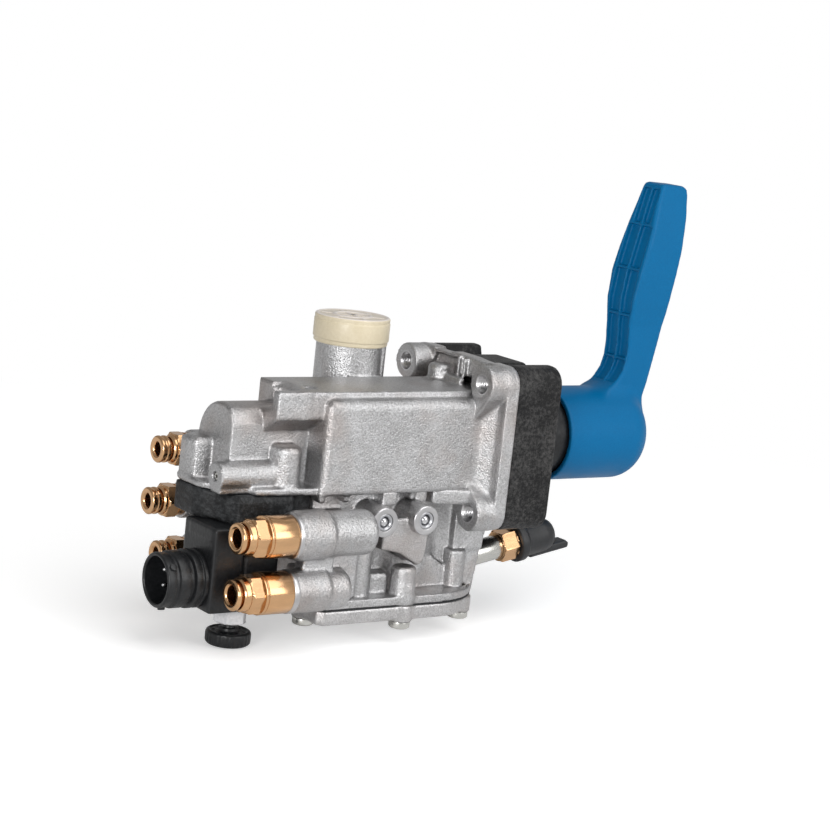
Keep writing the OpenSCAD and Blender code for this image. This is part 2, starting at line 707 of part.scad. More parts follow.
module connector_shell() {
    shoulder = 13;
    inner = plug_r - plug_wall;
    deep = plug_len - 5;
    color("black") difference() {
        union() {
            rod_x(plug_r, -block_left - plug_len, -block_left, -plug_y, -plug_z);
            rod_x(shoulder, -block_left - 6, -block_left - 3.4, -plug_y, -plug_z);
            rod_x(shoulder, -block_left - 1.8, -block_left, -plug_y, -plug_z);
            rod_x(5.9, -block_left - 1, -block_left + 5.5, -plug_y, -plug_z);
            // Bayonet lugs
            for (a = [20, 140, 260]) translate([-block_left - plug_len + 3, -plug_y, -plug_z]) rotate([a, 0, 0])
                rod_z(1.5, plug_r - 1, plug_r + 1);
        }
        rod_x(inner, -block_left - plug_len - 1, -block_left - plug_len + deep, -plug_y, -plug_z);
        for (p = pin_at) rod_x(1.2, -block_left - plug_len, -block_left - 1, p[0], p[1]);
    }
    color("black") slab([-block_left - plug_len + 7, -plug_y - 0.7, -plug_z - inner - 0.2],
        [-block_left - 4.5, -plug_y + 0.7, -plug_z - 5.5]);
}
module connector_pins() {
    color("silver") for (p = pin_at) {
        rod_x(1.15, -block_left - plug_len + 7, -block_left - 1.3, p[0], p[1]);
        translate([-block_left - plug_len + 7, p[0], p[1]]) sphere(1.15);
    }
}
module solenoid_coil() {
    color("peru") difference() {
        rod_z(coil_r, block_z1 - 25.8, block_z1 - 4.3, coil_x, coil_y);
        rod_z(4.4, block_z1 - 27, block_z1 - 3, coil_x, coil_y);
    }
}
module solenoid_plunger() {
    color("silver") rod_z(4.35, block_z1 - 19, block_z1 - 6.6, coil_x, coil_y);
}
module plunger_spring() {
    color("silver") translate([coil_x, coil_y, block_z1 - 25.7]) coil(3, 0.5, 6.4, 4);
}
module vent_nut() {
    color("white") difference() {
        translate([knob_x, knob_y, block_z0 - nut_h]) cylinder(r = nut_af / sqrt(3), h = nut_h, $fn = 6);
        rod_z(knob_stem_r, block_z0 - nut_h - 1, block_z0 + 1, knob_x, knob_y);
    }
}
module vent_knob() {
    top = block_z0 - nut_h - knob_gap;
    color("black") {
        rod_z(knob_stem_r - run_fit, top - 2, block_z0 + 5, knob_x, knob_y);
        rod_z(4.6, top - 2, top + knob_gap - knob_travel - move_gap, knob_x, knob_y);
        rod_z(knob_r - 1, top - knob_h, top, knob_x, knob_y);
        rod_z(knob_r, top - knob_h + 0.8, top - 0.8, knob_x, knob_y);
    }
}

// Push-in fittings. The profile runs from the port face out to the mouth.

module fitting_body(face, y, z, f, turn = 0) {
    hex_x0 = face + f[2];
    neck_x0 = hex_x0 + f[4];
    mouth_x = neck_x0 + f[6];
    color("goldenrod") difference() {
        union() {
            rod_x(f[10], -face - eps, -face + f[11], y, z);
            rod_x(f[1], -hex_x0, -face, y, z);
            hex_x(f[3], -neck_x0, -hex_x0 + eps, y, z, turn);
            rod_x(f[5], -mouth_x, -neck_x0 + eps, y, z);
        }
        rod_x(f[7] + run_fit, -mouth_x - 1, -mouth_x + collet_deep, y, z);
        rod_x(f[0] + 0.12, -mouth_x - 1, -mouth_x + socket_deep + collet_deep - 4, y, z);
        rod_x(passage_r, -mouth_x, -face + f[11] + 1, y, z);
    }
}
module collet(face, y, z, f) {
    mouth_x = face + f[2] + f[4] + f[6];
    head_x = mouth_x + groove_len;
    color("gold") difference() {
        union() {
            rod_x(f[7], -head_x - eps, -mouth_x + 5, y, z);
            rod_x(f[8], -head_x - f[9], -head_x, y, z);
        }
        rod_x(f[0] + 0.1, -head_x - f[9] - 1, -mouth_x + 6, y, z);
    }
}
module tube_seal(face, y, z, f) {
    mouth_x = face + f[2] + f[4] + f[6];
    wire = (f[7] - f[0]) / 2 - 0.05;
    ring_x((f[7] + f[0]) / 2 + 0.05, wire, -mouth_x + collet_deep - wire - 0.05, y, z);
}
module near_upper_fitting() { fitting_body(near_face, -port_y, -port_upper_z, near_fit, 8); }
module near_upper_collet() { collet(near_face, -port_y, -port_upper_z, near_fit); }
module near_lower_fitting() { fitting_body(near_face, -port_y, -port_lower_z, near_fit, 4); }
module near_lower_collet() { collet(near_face, -port_y, -port_lower_z, near_fit); }
module far_top_fitting() { fitting_body(far_face, port_y, -port_third_z, far_fit); }
module far_top_collet() { collet(far_face, port_y, -port_third_z, far_fit); }
module far_middle_fitting() { fitting_body(far_middle_face, port_y, -port_upper_z, far_fit); }
module far_middle_collet() { collet(far_middle_face, port_y, -port_upper_z, far_fit); }
module far_bottom_fitting() { fitting_body(far_bottom_face, port_y, -port_lower_z, far_fit); }
module far_bottom_collet() { collet(far_bottom_face, port_y, -port_lower_z, far_fit); }
module tube_seals() {
    color("dimgray") {
        tube_seal(near_face, -port_y, -port_upper_z, near_fit);
        tube_seal(near_face, -port_y, -port_lower_z, near_fit);
        tube_seal(far_face, port_y, -port_third_z, far_fit);
        tube_seal(far_middle_face, port_y, -port_upper_z, far_fit);
        tube_seal(far_bottom_face, port_y, -port_lower_z, far_fit);
    }
}

// Spacer frame, lever and shaft

module spacer_frame() {
    color("black") difference() {
        along_x(flange_x1, frame_x1) frame_outline();
        rod_x(frame_bore_r, flange_x1 + 8, frame_x1 + 1);
        rod_x(shaft_r + 1, flange_x1 - 1, flange_x1 + 9);
        for (y = [-mount_half, mount_half], z = [-mount_half, mount_half])
            rod_x(mount_hole_r + 1, flange_x1 - 1, frame_x1 + 1, y, z);
        for (at = frame_screw_at) {
            rod_x(frame_screw_r + 0.1, flange_x1 - 1, frame_x1 + 1, at[0], at[1]);
            rod_x(2 * frame_screw_r, frame_x1 - 12, frame_x1 + 1, at[0], at[1]);
        }
    }
}
module frame_screws() {
    color("silver") for (at = frame_screw_at) difference() {
        union() {
            rod_x(frame_screw_r, flange_x1, frame_x1 - 12 + eps, at[0], at[1]);
            rod_x(4.4, frame_x1 - 12, frame_x1 - 8, at[0], at[1]);
        }
        hex_x(4, frame_x1 - 10.5, frame_x1 - 7, at[0], at[1]);
    }
}
module hub_collar() {
    flange_r = frame_bore_r - 0.1;
    color("black") difference() {
        union() {
            rod_x(collar_r, frame_x1, collar_x1);
            rod_x(flange_r, flange_x1 + 8.1, frame_x1 + eps);
        }
        rod_x(spring_r + spring_wire_r + 1.2, flange_x1 + 12, collar_x1 + 1);
        rod_x(shaft_bore_r + 0.1, flange_x1 + 7, flange_x1 + 13);
    }
}
module return_spring() {
    x0 = flange_x1 + 12.3;
    color("silver") translate([x0, 0, 0]) rotate([0, 90, 0])
        coil(spring_r, spring_wire_r, hub_web_x - push_travel - move_gap - x0, 9);
}
module lever_profile() {
    // Side view of the blade: first X, then Z.
    polygon([[hub_x0 + 28, 12], [hub_x0 + 31, hub_r - 0.4], [hub_x0 + 36, 27], [hub_x0 + 40.5, 37],
        [hub_x0 + 41.5, 58], [hub_x0 + 44.8, 87], [hub_x0 + 49, 110], [hub_x0 + 51.4, lever_top - 2],
        [hub_x0 + 53.4, lever_top], [hub_x0 + 65.5, lever_top], [hub_x0 + 68.5, lever_top - 3],
        [hub_x0 + 68.7, 104], [hub_x0 + 66, 74], [hub_x0 + 60.5, 47], [hub_x0 + 56, 26],
        [hub_x1 - 4, 8]]);
}
module lever_front() {
    // Front view of the blade: first Y, then Z. It narrows towards its tip.
    polygon([[-blade_w / 2, 0], [blade_w / 2, 0], [blade_w / 2, blade_mid_z], [tip_w / 2, lever_top + 1],
        [-tip_w / 2, lever_top + 1], [-blade_w / 2, blade_mid_z]]);
}
module lever_blade() {
    intersection() {
        rotate([90, 0, 0]) translate([0, 0, -blade_w / 2]) linear_extrude(blade_w) lever_profile();
        along_x(hub_x0, hub_x0 + lever_reach) lever_front();
    }
}
module lever_pockets() {
    // Pockets on each side of the middle rib, open towards the frame.
    for (h = pocket_z, side = [-1, 1]) {
        far_z = h[1];
        half_w = (far_z > blade_mid_z ? blade_w / 2 - (blade_w - tip_w) / 2
            * (far_z - blade_mid_z) / (lever_top + 1 - blade_mid_z) : blade_w / 2) - pocket_wall;
        lean = (h[0] + h[1]) / 2 * 0.1;
        slab([hub_x0 + 30, side < 0 ? -half_w : pocket_rib / 2, h[0]],
            [hub_x0 + 40 + lean, side < 0 ? -pocket_rib / 2 : half_w, h[1]]);
    }
}
module lever() {
    color("steelblue") difference() {
        union() {
            translate([hub_x0, 0, 0]) rotate([0, 90, 0]) rotate_extrude($fn = 96) {
                square([hub_r, hub_len - hub_round]);
                square([hub_r - hub_round, hub_len]);
                translate([hub_r - hub_round, hub_len - hub_round]) intersection() {
                    circle(hub_round);
                    square(hub_round);
                }
            }
            lever_blade();
        }
        lever_pockets();
        rod_x(hub_r - hub_wall, hub_x0 - 1, hub_web_x);
        rod_x(shaft_r + 0.02, hub_x0, shaft_end_x + 0.2);
        rod_z(pin_r + 0.02, -hub_r - 1, 14, pin_x, 0);
    }
}
module lever_shaft() {
    color("lightgray") difference() {
        union() {
            hex_x(hex_af, hex_x0, hex_x1 + 0.5);
            rod_x(shaft_r, hex_x1 + 0.4, shaft_end_x);
        }
        difference() {
            rod_x(shaft_r + 1, -circlip_t - 0.4, -0.2);
            rod_x(shaft_r - 0.8, -circlip_t - 1, 0);
        }
        rod_z(pin_r + 0.02, -hub_r, hub_r, pin_x, 0);
    }
}
module lever_pin() {
    color("gray") rod_z(pin_r, -hub_r + 2, 13.5, pin_x, 0);
}
module shaft_circlip() {
    color("dimgray") difference() {
        rod_x(shaft_r + 2, -circlip_t - 0.35, -0.25);
        rod_x(shaft_r - 0.75, -circlip_t - 1, 1);
    }
}
module shaft_bush() {
    color("darkgoldenrod") difference() {
        rod_x(rotor_bore_r, 0, bush_len);
        rod_x(shaft_bore_r, -1, bush_len + 1);
    }
}
module shaft_seal() {
    color("dimgray") difference() {
        rod_x(rotor_bore_r, bush_len, flange_x1 - 0.3);
        rod_x(shaft_bore_r, bush_len - 1, flange_x1 + 1);
        rod_x(shaft_r + 3, flange_x1 - 2.5, flange_x1 + 1);
    }
}
module rotor() {
    port_w = (seal_x[1] - seal_x[0]) / 2;
    color("burlywood") difference() {
        union() {
            rod_x(rotor_r, rotor_x0, rotor_x1);
            rod_x(journal_r, journal_x0 + 1, rotor_x0 + 1);
        }
        // Socket for the shaft's hexagon, with room for the press travel
        hex_x(hex_af + hex_gap, hex_x0 - push_travel - 2, rotor_x1 + 1);
        rod_x(shaft_r + 0.1, hex_x1 - push_travel, rotor_x1 + 1);
        // Seal grooves, detent groove and the cross ports
        for (x = seal_x) difference() {
            rod_x(rotor_r + 1, x - seal_wire - 0.1, x + seal_wire + 0.1);
            rod_x(rotor_r - 2 * seal_wire, x - seal_wire - 1, x + seal_wire + 1);
        }
        difference() {
            rod_x(rotor_r + 1, detent_x - detent_ball_r - 0.2, detent_x + detent_ball_r + 0.2);
            rod_x(rotor_r - detent_depth, detent_x - 5, detent_x + 5);
        }
        for (i = [0:2]) rod_z(gallery_r, -rotor_r - 1, -rotor_r + 4, seal_x[i] + port_w, 0);
        rod_y(gallery_r, rotor_r - 4, rotor_r + 1, seal_x[1] + port_w, 0);
    }
}
module rotor_seals() {
    color("dimgray") for (x = seal_x) ring_x(rotor_r - seal_wire, seal_wire - 0.02, x);
}
module detent_ball() {
    color("silver") translate([detent_x, 0, detent_ball_z]) sphere(detent_ball_r);
}
module detent_spring() {
    top = detent_ball_z - detent_ball_r - 0.1;
    color("silver") translate([detent_x, 0, detent_plug_z]) coil(2.3, 0.4, top - detent_plug_z, 3);
}
module detent_plug() {
    color("silver") rod_z(detent_bore_r - 0.02, -port_upper_z + 8, detent_plug_z, detent_x, 0);
}

// Air pistons in the port body

module piston(x) {
    color("lightgray") difference() {
        union() {
            rod_z(piston_r, piston_z0, piston_z0 + piston_t, x, 0);
            rod_z(stem_r, piston_z0, stem_top, x, 0);
        }
        difference() {
            rod_z(piston_r + 1, piston_z0 + piston_t / 2 - 1.5, piston_z0 + piston_t / 2 + 1.5, x, 0);
            rod_z(piston_r - 2 * seal_wire, piston_z0, piston_z0 + piston_t, x, 0);
        }
        rod_z(3.2, piston_z0 - 1, piston_z0 + 8, x, 0);
    }
}
module left_piston() { piston(left_x); }
module right_piston() { piston(right_x); }
module piston_seal(x) {
    color("dimgray") translate([x, 0, piston_z0 + piston_t / 2])
        rotate_extrude() translate([piston_r - seal_wire, 0]) circle(seal_wire - 0.05, $fn = 24);
}
module left_piston_seal() { piston_seal(left_x); }
module right_piston_seal() { piston_seal(right_x); }
module piston_springs() {
    color("silver") for (x = [left_x, right_x]) translate([x, 0, gasket_z0])
        coil(6, 0.7, piston_z0 - gasket_z0 - 0.1, 4);
}

// Test point

module test_place() {
    translate(test_at) rotate([0, -test_tilt, 0]) children();
}
module test_stub() {
    color("silver") test_place() difference() {
        union() {
            rod_x(4, -4, 10);
            rod_x(5.8, 4, 22);
        }
        rod_x(2, -5, 23);
    }
}
module test_coupling() {
    color("goldenrod") test_place() difference() {
        union() {
            hex_x(14, 22, 31);
            rod_x(test_nose_r, 31 - eps, 42);
        }
        rod_x(2.4, 21, 43);
    }
}
module test_valve_pin() {
    color("silver") test_place() rod_x(2.35, 30, 41);
}
module test_cap() {
    // Half profile of the rubber cap, turned about the test point's axis: first radius, then height.
    body_r = test_cap_r - 1.4;
    inner_r = test_nose_r + move_gap;
    color("black") test_place() {
        rotate([0, 90, 0]) rotate_extrude() polygon([[inner_r, 31.4], [test_cap_r, 31.4], [test_cap_r, 35.5],
            [body_r, 36.5], [body_r, 48.5], [body_r - 0.6, 51.5], [body_r - 2.4, 54], [0, 55.2],
            [0, 42 + move_gap], [inner_r, 42 + move_gap]]);
        slab([40, -4, -body_r - 0.6], [63.5, 4, -body_r + 2]);
    }
}

valve_housing();
port_body();
base_cover();
base_gasket();
cover_screws();
gallery_plugs();
gallery_balls();
filter_cap();
filter_element();
stop_screw();
pilot_plate();
pilot_screws();
solenoid_block();
connector_shell();
connector_pins();
solenoid_coil();
solenoid_plunger();
plunger_spring();
vent_nut();
vent_knob();
near_upper_fitting();
near_upper_collet();
near_lower_fitting();
near_lower_collet();
far_top_fitting();
far_top_collet();
far_middle_fitting();
far_middle_collet();
far_bottom_fitting();
far_bottom_collet();
tube_seals();
spacer_frame();
frame_screws();
hub_collar();
return_spring();
lever();
lever_shaft();
lever_pin();
shaft_circlip();
shaft_bush();
shaft_seal();
rotor();
rotor_seals();
detent_ball();
detent_spring();
detent_plug();
left_piston();
right_piston();
left_piston_seal();
right_piston_seal();
piston_springs();
test_stub();
test_coupling();
test_valve_pin();
test_cap();
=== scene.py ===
import json
import math

import bpy
import numpy as np
from mathutils import Matrix, Vector


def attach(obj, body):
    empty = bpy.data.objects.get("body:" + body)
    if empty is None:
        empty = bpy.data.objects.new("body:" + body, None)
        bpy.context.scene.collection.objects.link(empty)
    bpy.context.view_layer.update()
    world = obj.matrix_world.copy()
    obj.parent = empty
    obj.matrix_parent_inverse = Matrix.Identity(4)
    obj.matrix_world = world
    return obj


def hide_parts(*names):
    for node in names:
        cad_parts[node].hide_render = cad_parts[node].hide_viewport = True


# Lengths are in millimetres up to makePiece, which turns them into metres.
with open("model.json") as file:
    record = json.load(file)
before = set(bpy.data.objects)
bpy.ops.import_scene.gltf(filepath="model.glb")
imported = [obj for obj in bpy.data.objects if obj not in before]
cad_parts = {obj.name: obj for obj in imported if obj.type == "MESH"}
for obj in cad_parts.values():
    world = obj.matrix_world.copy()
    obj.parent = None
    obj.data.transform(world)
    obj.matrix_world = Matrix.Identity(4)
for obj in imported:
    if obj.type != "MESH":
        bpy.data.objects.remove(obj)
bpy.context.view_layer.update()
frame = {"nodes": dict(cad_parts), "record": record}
nodes = frame["nodes"]
coarse = 1.0
print("frame loaded")


def tone(red, green, blue):
    linear = [((c / 255 + 0.055) / 1.055) ** 2.4 if c > 10 else c / 255 / 12.92 for c in (red, green, blue)]
    return (*linear, 1.0)


class Value:
    # A shader socket that takes part in sums like a number.
    def __init__(self, finish, socket):
        self.finish, self.socket = finish, socket

    def __add__(self, other):
        return self.finish.maths("ADD", self, other)

    def __sub__(self, other):
        return self.finish.maths("SUBTRACT", self, other)

    def __rsub__(self, other):
        return self.finish.maths("SUBTRACT", other, self)

    def __mul__(self, other):
        return self.finish.maths("MULTIPLY", self, other)

    def __truediv__(self, other):
        return self.finish.maths("DIVIDE", self, other)

    def __rtruediv__(self, other):
        return self.finish.maths("DIVIDE", other, self)

    def __pow__(self, other):
        return self.finish.maths("POWER", self, other)

    __radd__ = __add__
    __rmul__ = __mul__


class Finish:
    # A material on one Principled shader. Its node method sets a node's options first, then its sockets.
    def __init__(self, name, **constants):
        self.material = bpy.data.materials.new(name)
        self.material.use_nodes = True
        self.tree = self.material.node_tree
        self.shader = self.tree.nodes["Principled BSDF"]
        self.feed(self.shader, constants)
        self.place = self.node("ShaderNodeTexCoord", out="Object")

    def feed(self, node, inputs):
        for key, value in inputs.items():
            socket = node.inputs[key]
            if isinstance(value, Value):
                self.tree.links.new(value.socket, socket)
            else:
                socket.default_value = value

    def node(self, kind, settings=None, inputs=None, out=0):
        made = self.tree.nodes.new(kind)
        for key, value in (settings or {}).items():
            setattr(made, key, value)
        self.feed(made, inputs or {})
        return Value(self, made.outputs[out])

    def maths(self, operation, *values):
        return self.node("ShaderNodeMath", {"operation": operation}, dict(enumerate(values)))

    def axes(self, vector):
        made = self.tree.nodes.new("ShaderNodeSeparateXYZ")
        self.feed(made, {"Vector": vector})
        return [Value(self, socket) for socket in made.outputs]

    def noise(self, scale, detail=2.0, rough=0.5, place=None):
        return self.node("ShaderNodeTexNoise", None, {"Vector": place or self.place, "Scale": scale,
                                                      "Detail": detail, "Roughness": rough})

    def stretched(self, x, y, z):
        return self.node("ShaderNodeMapping", None, {"Vector": self.place, "Scale": (x, y, z)})

    def spread(self, value, low, high, start=0.0, end=1.0):
        return self.node("ShaderNodeMapRange", {"clamp": True}, {0: value, 1: low, 2: high, 3: start,
                                                                 4: end})

    def blend(self, amount, first, second):
        return self.node("ShaderNodeMix", {"data_type": "RGBA"}, {0: amount, 6: first, 7: second}, out=2)

    def bump(self, height, strength, distance):
        return self.node("ShaderNodeBump", None, {"Height": height, "Strength": strength,
                                                  "Distance": distance})

    def put(self, **sockets):
        self.feed(self.shader, {key.replace("_", " "): value for key, value in sockets.items()})
        return self.material


def castMetal(name, base, dark, grain, roughness, metallic):
    made = Finish(name, **{"Metallic": metallic, "Specular IOR Level": 0.5})
    speckle = made.noise(1250.0, 2.0, 0.65)
    cloud = made.noise(70.0, 3.0, 0.55)
    # Painted reflection: random brown patches stand in for the brownish tint that the upward faces reflect
    # from their surroundings.
    brownReflectionTint = made.noise(26.0, 4.0, 0.62)
    plain = made.blend(made.spread(speckle * 0.7 + cloud * 0.3, 0.36, 0.62), dark, base)
    return made.put(
        Base_Color=made.blend(made.spread(brownReflectionTint + speckle * 0.2, 0.58, 0.78, 0.0, 0.5), plain,
                              tone(160, 146, 139)),
        Roughness=made.spread(cloud + speckle * 0.3, 0.45, 0.85, roughness - 0.05, roughness + 0.07),
        Normal=made.bump(speckle + made.noise(420.0, 2.0) * 0.6, grain, 0.0004))


def cleanMetal(name, base, roughness, streak=0.02):
    made = Finish(name, **{"Metallic": 1.0})
    mark = made.noise(260.0, 3.0, 0.6, made.stretched(0.25, 1.0, 1.0))
    shade = tuple(c * 0.86 for c in base[:3]) + (1.0,)
    return made.put(
        Base_Color=made.blend(made.spread(mark, 0.35, 0.65), shade, base),
        Roughness=made.spread(mark, 0.3, 0.7, roughness - streak, roughness + streak),
        Normal=made.bump(made.noise(900.0, 2.0, 0.5, made.stretched(1.0, 0.2, 0.2)), 0.04, 0.0002))


def plastic(name, base, dark, roughness, grain=0.1, scale=900.0, worn=None, specular=0.5, litTopAbove=None):
    made = Finish(name, **{"Specular IOR Level": specular})
    fine = made.noise(scale, 2.0, 0.55)
    cloud = made.noise(60.0, 4.0, 0.6)
    colour = made.blend(made.spread(fine * 0.8 + cloud * 0.2, 0.34, 0.66), dark, base)
    if worn:
        scuff = made.noise(520.0, 7.0, 0.78, made.stretched(1.0, 0.45, 1.0))
        colour = made.blend(made.spread(scuff + cloud * 0.5, 0.7, 1.0, 0.0, 0.75), colour, worn)
    # Painted light: above the given height the colour is blended to a pale tone, so a top face reads lighter
    # than the sides under it.
    if litTopAbove:
        height = made.axes(made.place)[2]
        colour = made.blend(made.spread(height, litTopAbove, litTopAbove + 0.0004), colour, tone(232, 224, 217))
    return made.put(
        Base_Color=colour,
        Roughness=made.spread(cloud, 0.3, 0.7, roughness - 0.05, roughness + 0.08),
        Normal=made.bump(fine + cloud * 0.5, grain, 0.0004))


finishes = {
    "cast_aluminium": castMetal("cast_aluminium", tone(200, 200, 201), tone(158, 157, 157), 0.8, 0.36, 1.0),
    "cover_aluminium": castMetal("cover_aluminium", tone(208, 207, 207), tone(172, 170, 170), 0.5, 0.34,
                                 1.0),
    "milled": cleanMetal("milled", tone(196, 195, 196), 0.3),
    "zinc_steel": cleanMetal("zinc_steel", tone(206, 205, 200), 0.27),
    "bright_steel": cleanMetal("bright_steel", tone(214, 214, 216), 0.14),
    "brass": cleanMetal("brass", tone(218, 174, 130), 0.2),
    "black_plastic": plastic("black_plastic", tone(30, 31, 33), tone(17, 18, 20), 0.34, 0.25, 700.0,
                             specular=0.4),
    "pilot_black": plastic("pilot_black", tone(25, 26, 28), tone(12, 13, 14), 0.46, 0.5, 1200.0,
                           worn=tone(84, 86, 88), specular=0.3),
    "frame_black": plastic("frame_black", tone(30, 30, 31), tone(15, 15, 16), 0.5, 0.6, 1200.0,
                           worn=tone(96, 95, 94), specular=0.2),
    "blue_plastic": plastic("blue_plastic", tone(0, 105, 158), tone(0, 99, 150), 0.42, 0.08, 1400.0,
                            specular=0.15),
    "cream_plastic": plastic("cream_plastic", tone(222, 210, 183), tone(215, 202, 173), 0.34, 0.05, 700.0,
                             litTopAbove=0.0513),
    "white_plastic": plastic("white_plastic", tone(226, 226, 228), tone(206, 207, 210), 0.3, 0.08),
    "grey_alloy": cleanMetal("grey_alloy", tone(190, 191, 194), 0.32),
    "black_rubber": plastic("black_rubber", tone(34, 35, 38), tone(24, 25, 27), 0.46, 0.15, 600.0),
    "filter_felt": plastic("filter_felt", tone(190, 188, 180), tone(150, 148, 142), 0.85, 0.8, 500.0),
    "coil_copper": cleanMetal("coil_copper", tone(206, 128, 84), 0.3),
    # Painted shade: dark_hole is a near-black colour that stands in for the shade inside holes.
    "dark_hole": plastic("dark_hole", tone(16, 16, 17), tone(10, 10, 11), 0.6, 0.1),
}
for entry in frame["record"]["subparts"]:
    data = nodes[entry["node"]].data
    data.materials.clear()
    data.materials.append(finishes[entry["material_slot"]])
print("finishes made")


def makePiece(name, points, faces, finish, body="housing", replaced=(), sharp=38, slot=None):
    data = bpy.data.meshes.new(name)
    data.from_pydata(np.asarray(points, np.float64) * 0.001, [], faces)
    data.update()
    data.shade_smooth()
    if sharp:
        data.set_sharp_from_angle(angle=math.radians(sharp))
    made = bpy.data.objects.new(name, data)
    bpy.context.scene.collection.objects.link(made)
    data.materials.append(finishes[finish])
    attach(made, body)
    if replaced:
        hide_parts(*replaced)
    return made


# Solids as signed distances: a shape has its box and a function of x, y and z.

class Shape:
    def __init__(self, low, high, distance):
        self.low, self.high, self.distance = low, high, distance


def smoothMin(a, b, width):
    if width <= 0:
        return np.minimum(a, b)
    near = np.maximum(width - np.abs(a - b), 0) / width
    return np.minimum(a, b) - near * near * (width / 4)


def joined(across, along):
    # Distance of an extrusion from its outline's distance and its distance past the ends.
    return np.sqrt(np.maximum(across, 0) ** 2 + np.maximum(along, 0) ** 2) + np.minimum(
        np.maximum(across, along), 0)


def block(low, high, round=0.8):
    middle = [(a + b) / 2 for a, b in zip(low, high)]
    half = [(b - a) / 2 - round for a, b in zip(low, high)]

    def distance(x, y, z):
        q = [np.abs(c - m) - h for c, m, h in zip((x, y, z), middle, half)]
        outside = sum(np.maximum(v, 0) ** 2 for v in q)
        return np.sqrt(outside) + np.minimum(np.maximum(np.maximum(q[0], q[1]), q[2]), 0) - round
    return Shape(low, high, distance)


def spanBox(axis, start, end, lowSide, highSide):
    low, high = list(lowSide), list(highSide)
    low.insert(axis, min(start, end))
    high.insert(axis, max(start, end))
    return low, high


def rod(axis, radius, start, end, at, round=0.6, narrow=0.0):
    # narrow is how much thinner the far end is than the near one.
    low, high = spanBox(axis, start, end, [c - radius for c in at], [c + radius for c in at])
    middle, half = (start + end) / 2, abs(end - start) / 2

    def distance(x, y, z):
        along = (x, y, z)[axis]
        u, v = [c for i, c in enumerate((x, y, z)) if i != axis]
        across = np.sqrt((u - at[0]) ** 2 + (v - at[1]) ** 2) - (radius - round)
        if narrow:
            across = across + narrow * np.clip((along - start) / (end - start), 0, 1)
        return joined(across, np.abs(along - middle) - (half - round)) - round
    return Shape(low, high, distance)


def prism(axis, outline, start, end, round=0.6):
    # outline is in the two other axes, in their order.
    outline = np.array(outline, float)
    low, high = spanBox(axis, start, end, outline.min(0), outline.max(0))
    middle, half = (start + end) / 2, abs(end - start) / 2

    def distance(x, y, z):
        along = (x, y, z)[axis]
        u, v = [c for i, c in enumerate((x, y, z)) if i != axis]
        best, side = 1e9, 1.0
        for a, b in zip(outline, np.roll(outline, 1, 0)):
            edge = b - a
            if edge @ edge < 1e-9:
                continue
            wu, wv = u - a[0], v - a[1]
            t = np.clip((wu * edge[0] + wv * edge[1]) / (edge @ edge), 0, 1)
            best = np.minimum(best, (wu - edge[0] * t) ** 2 + (wv - edge[1] * t) ** 2)
            one, two, three = v >= a[1], v < b[1], edge[0] * wv > edge[1] * wu
            side = side * np.where((one & two & three) | ~(one | two | three), -1.0, 1.0)
        across = np.sqrt(best) * side + round
        return joined(across, np.abs(along - middle) - (half - round)) - round
    return Shape(low, high, distance)


def ball(radius, at):
    return Shape([c - radius for c in at], [c + radius for c in at],
                 lambda x, y, z: np.sqrt((x - at[0]) ** 2 + (y - at[1]) ** 2 + (z - at[2]) ** 2) - radius)


def arc(centre, radius, start, end, steps=8):
    angles = np.radians(np.linspace(start, end, steps + 1))
    return [(centre[0] + radius * np.cos(a), centre[1] + radius * np.sin(a)) for a in angles]


def roundedSquare(half, radius, steps=8):
    inner = half - radius
    corners = [(inner, inner, 0), (-inner, inner, 90), (-inner, -inner, 180), (inner, -inner, 270)]
    return [p for u, v, a in corners for p in arc((u, v), radius, a, a + 90, steps)]


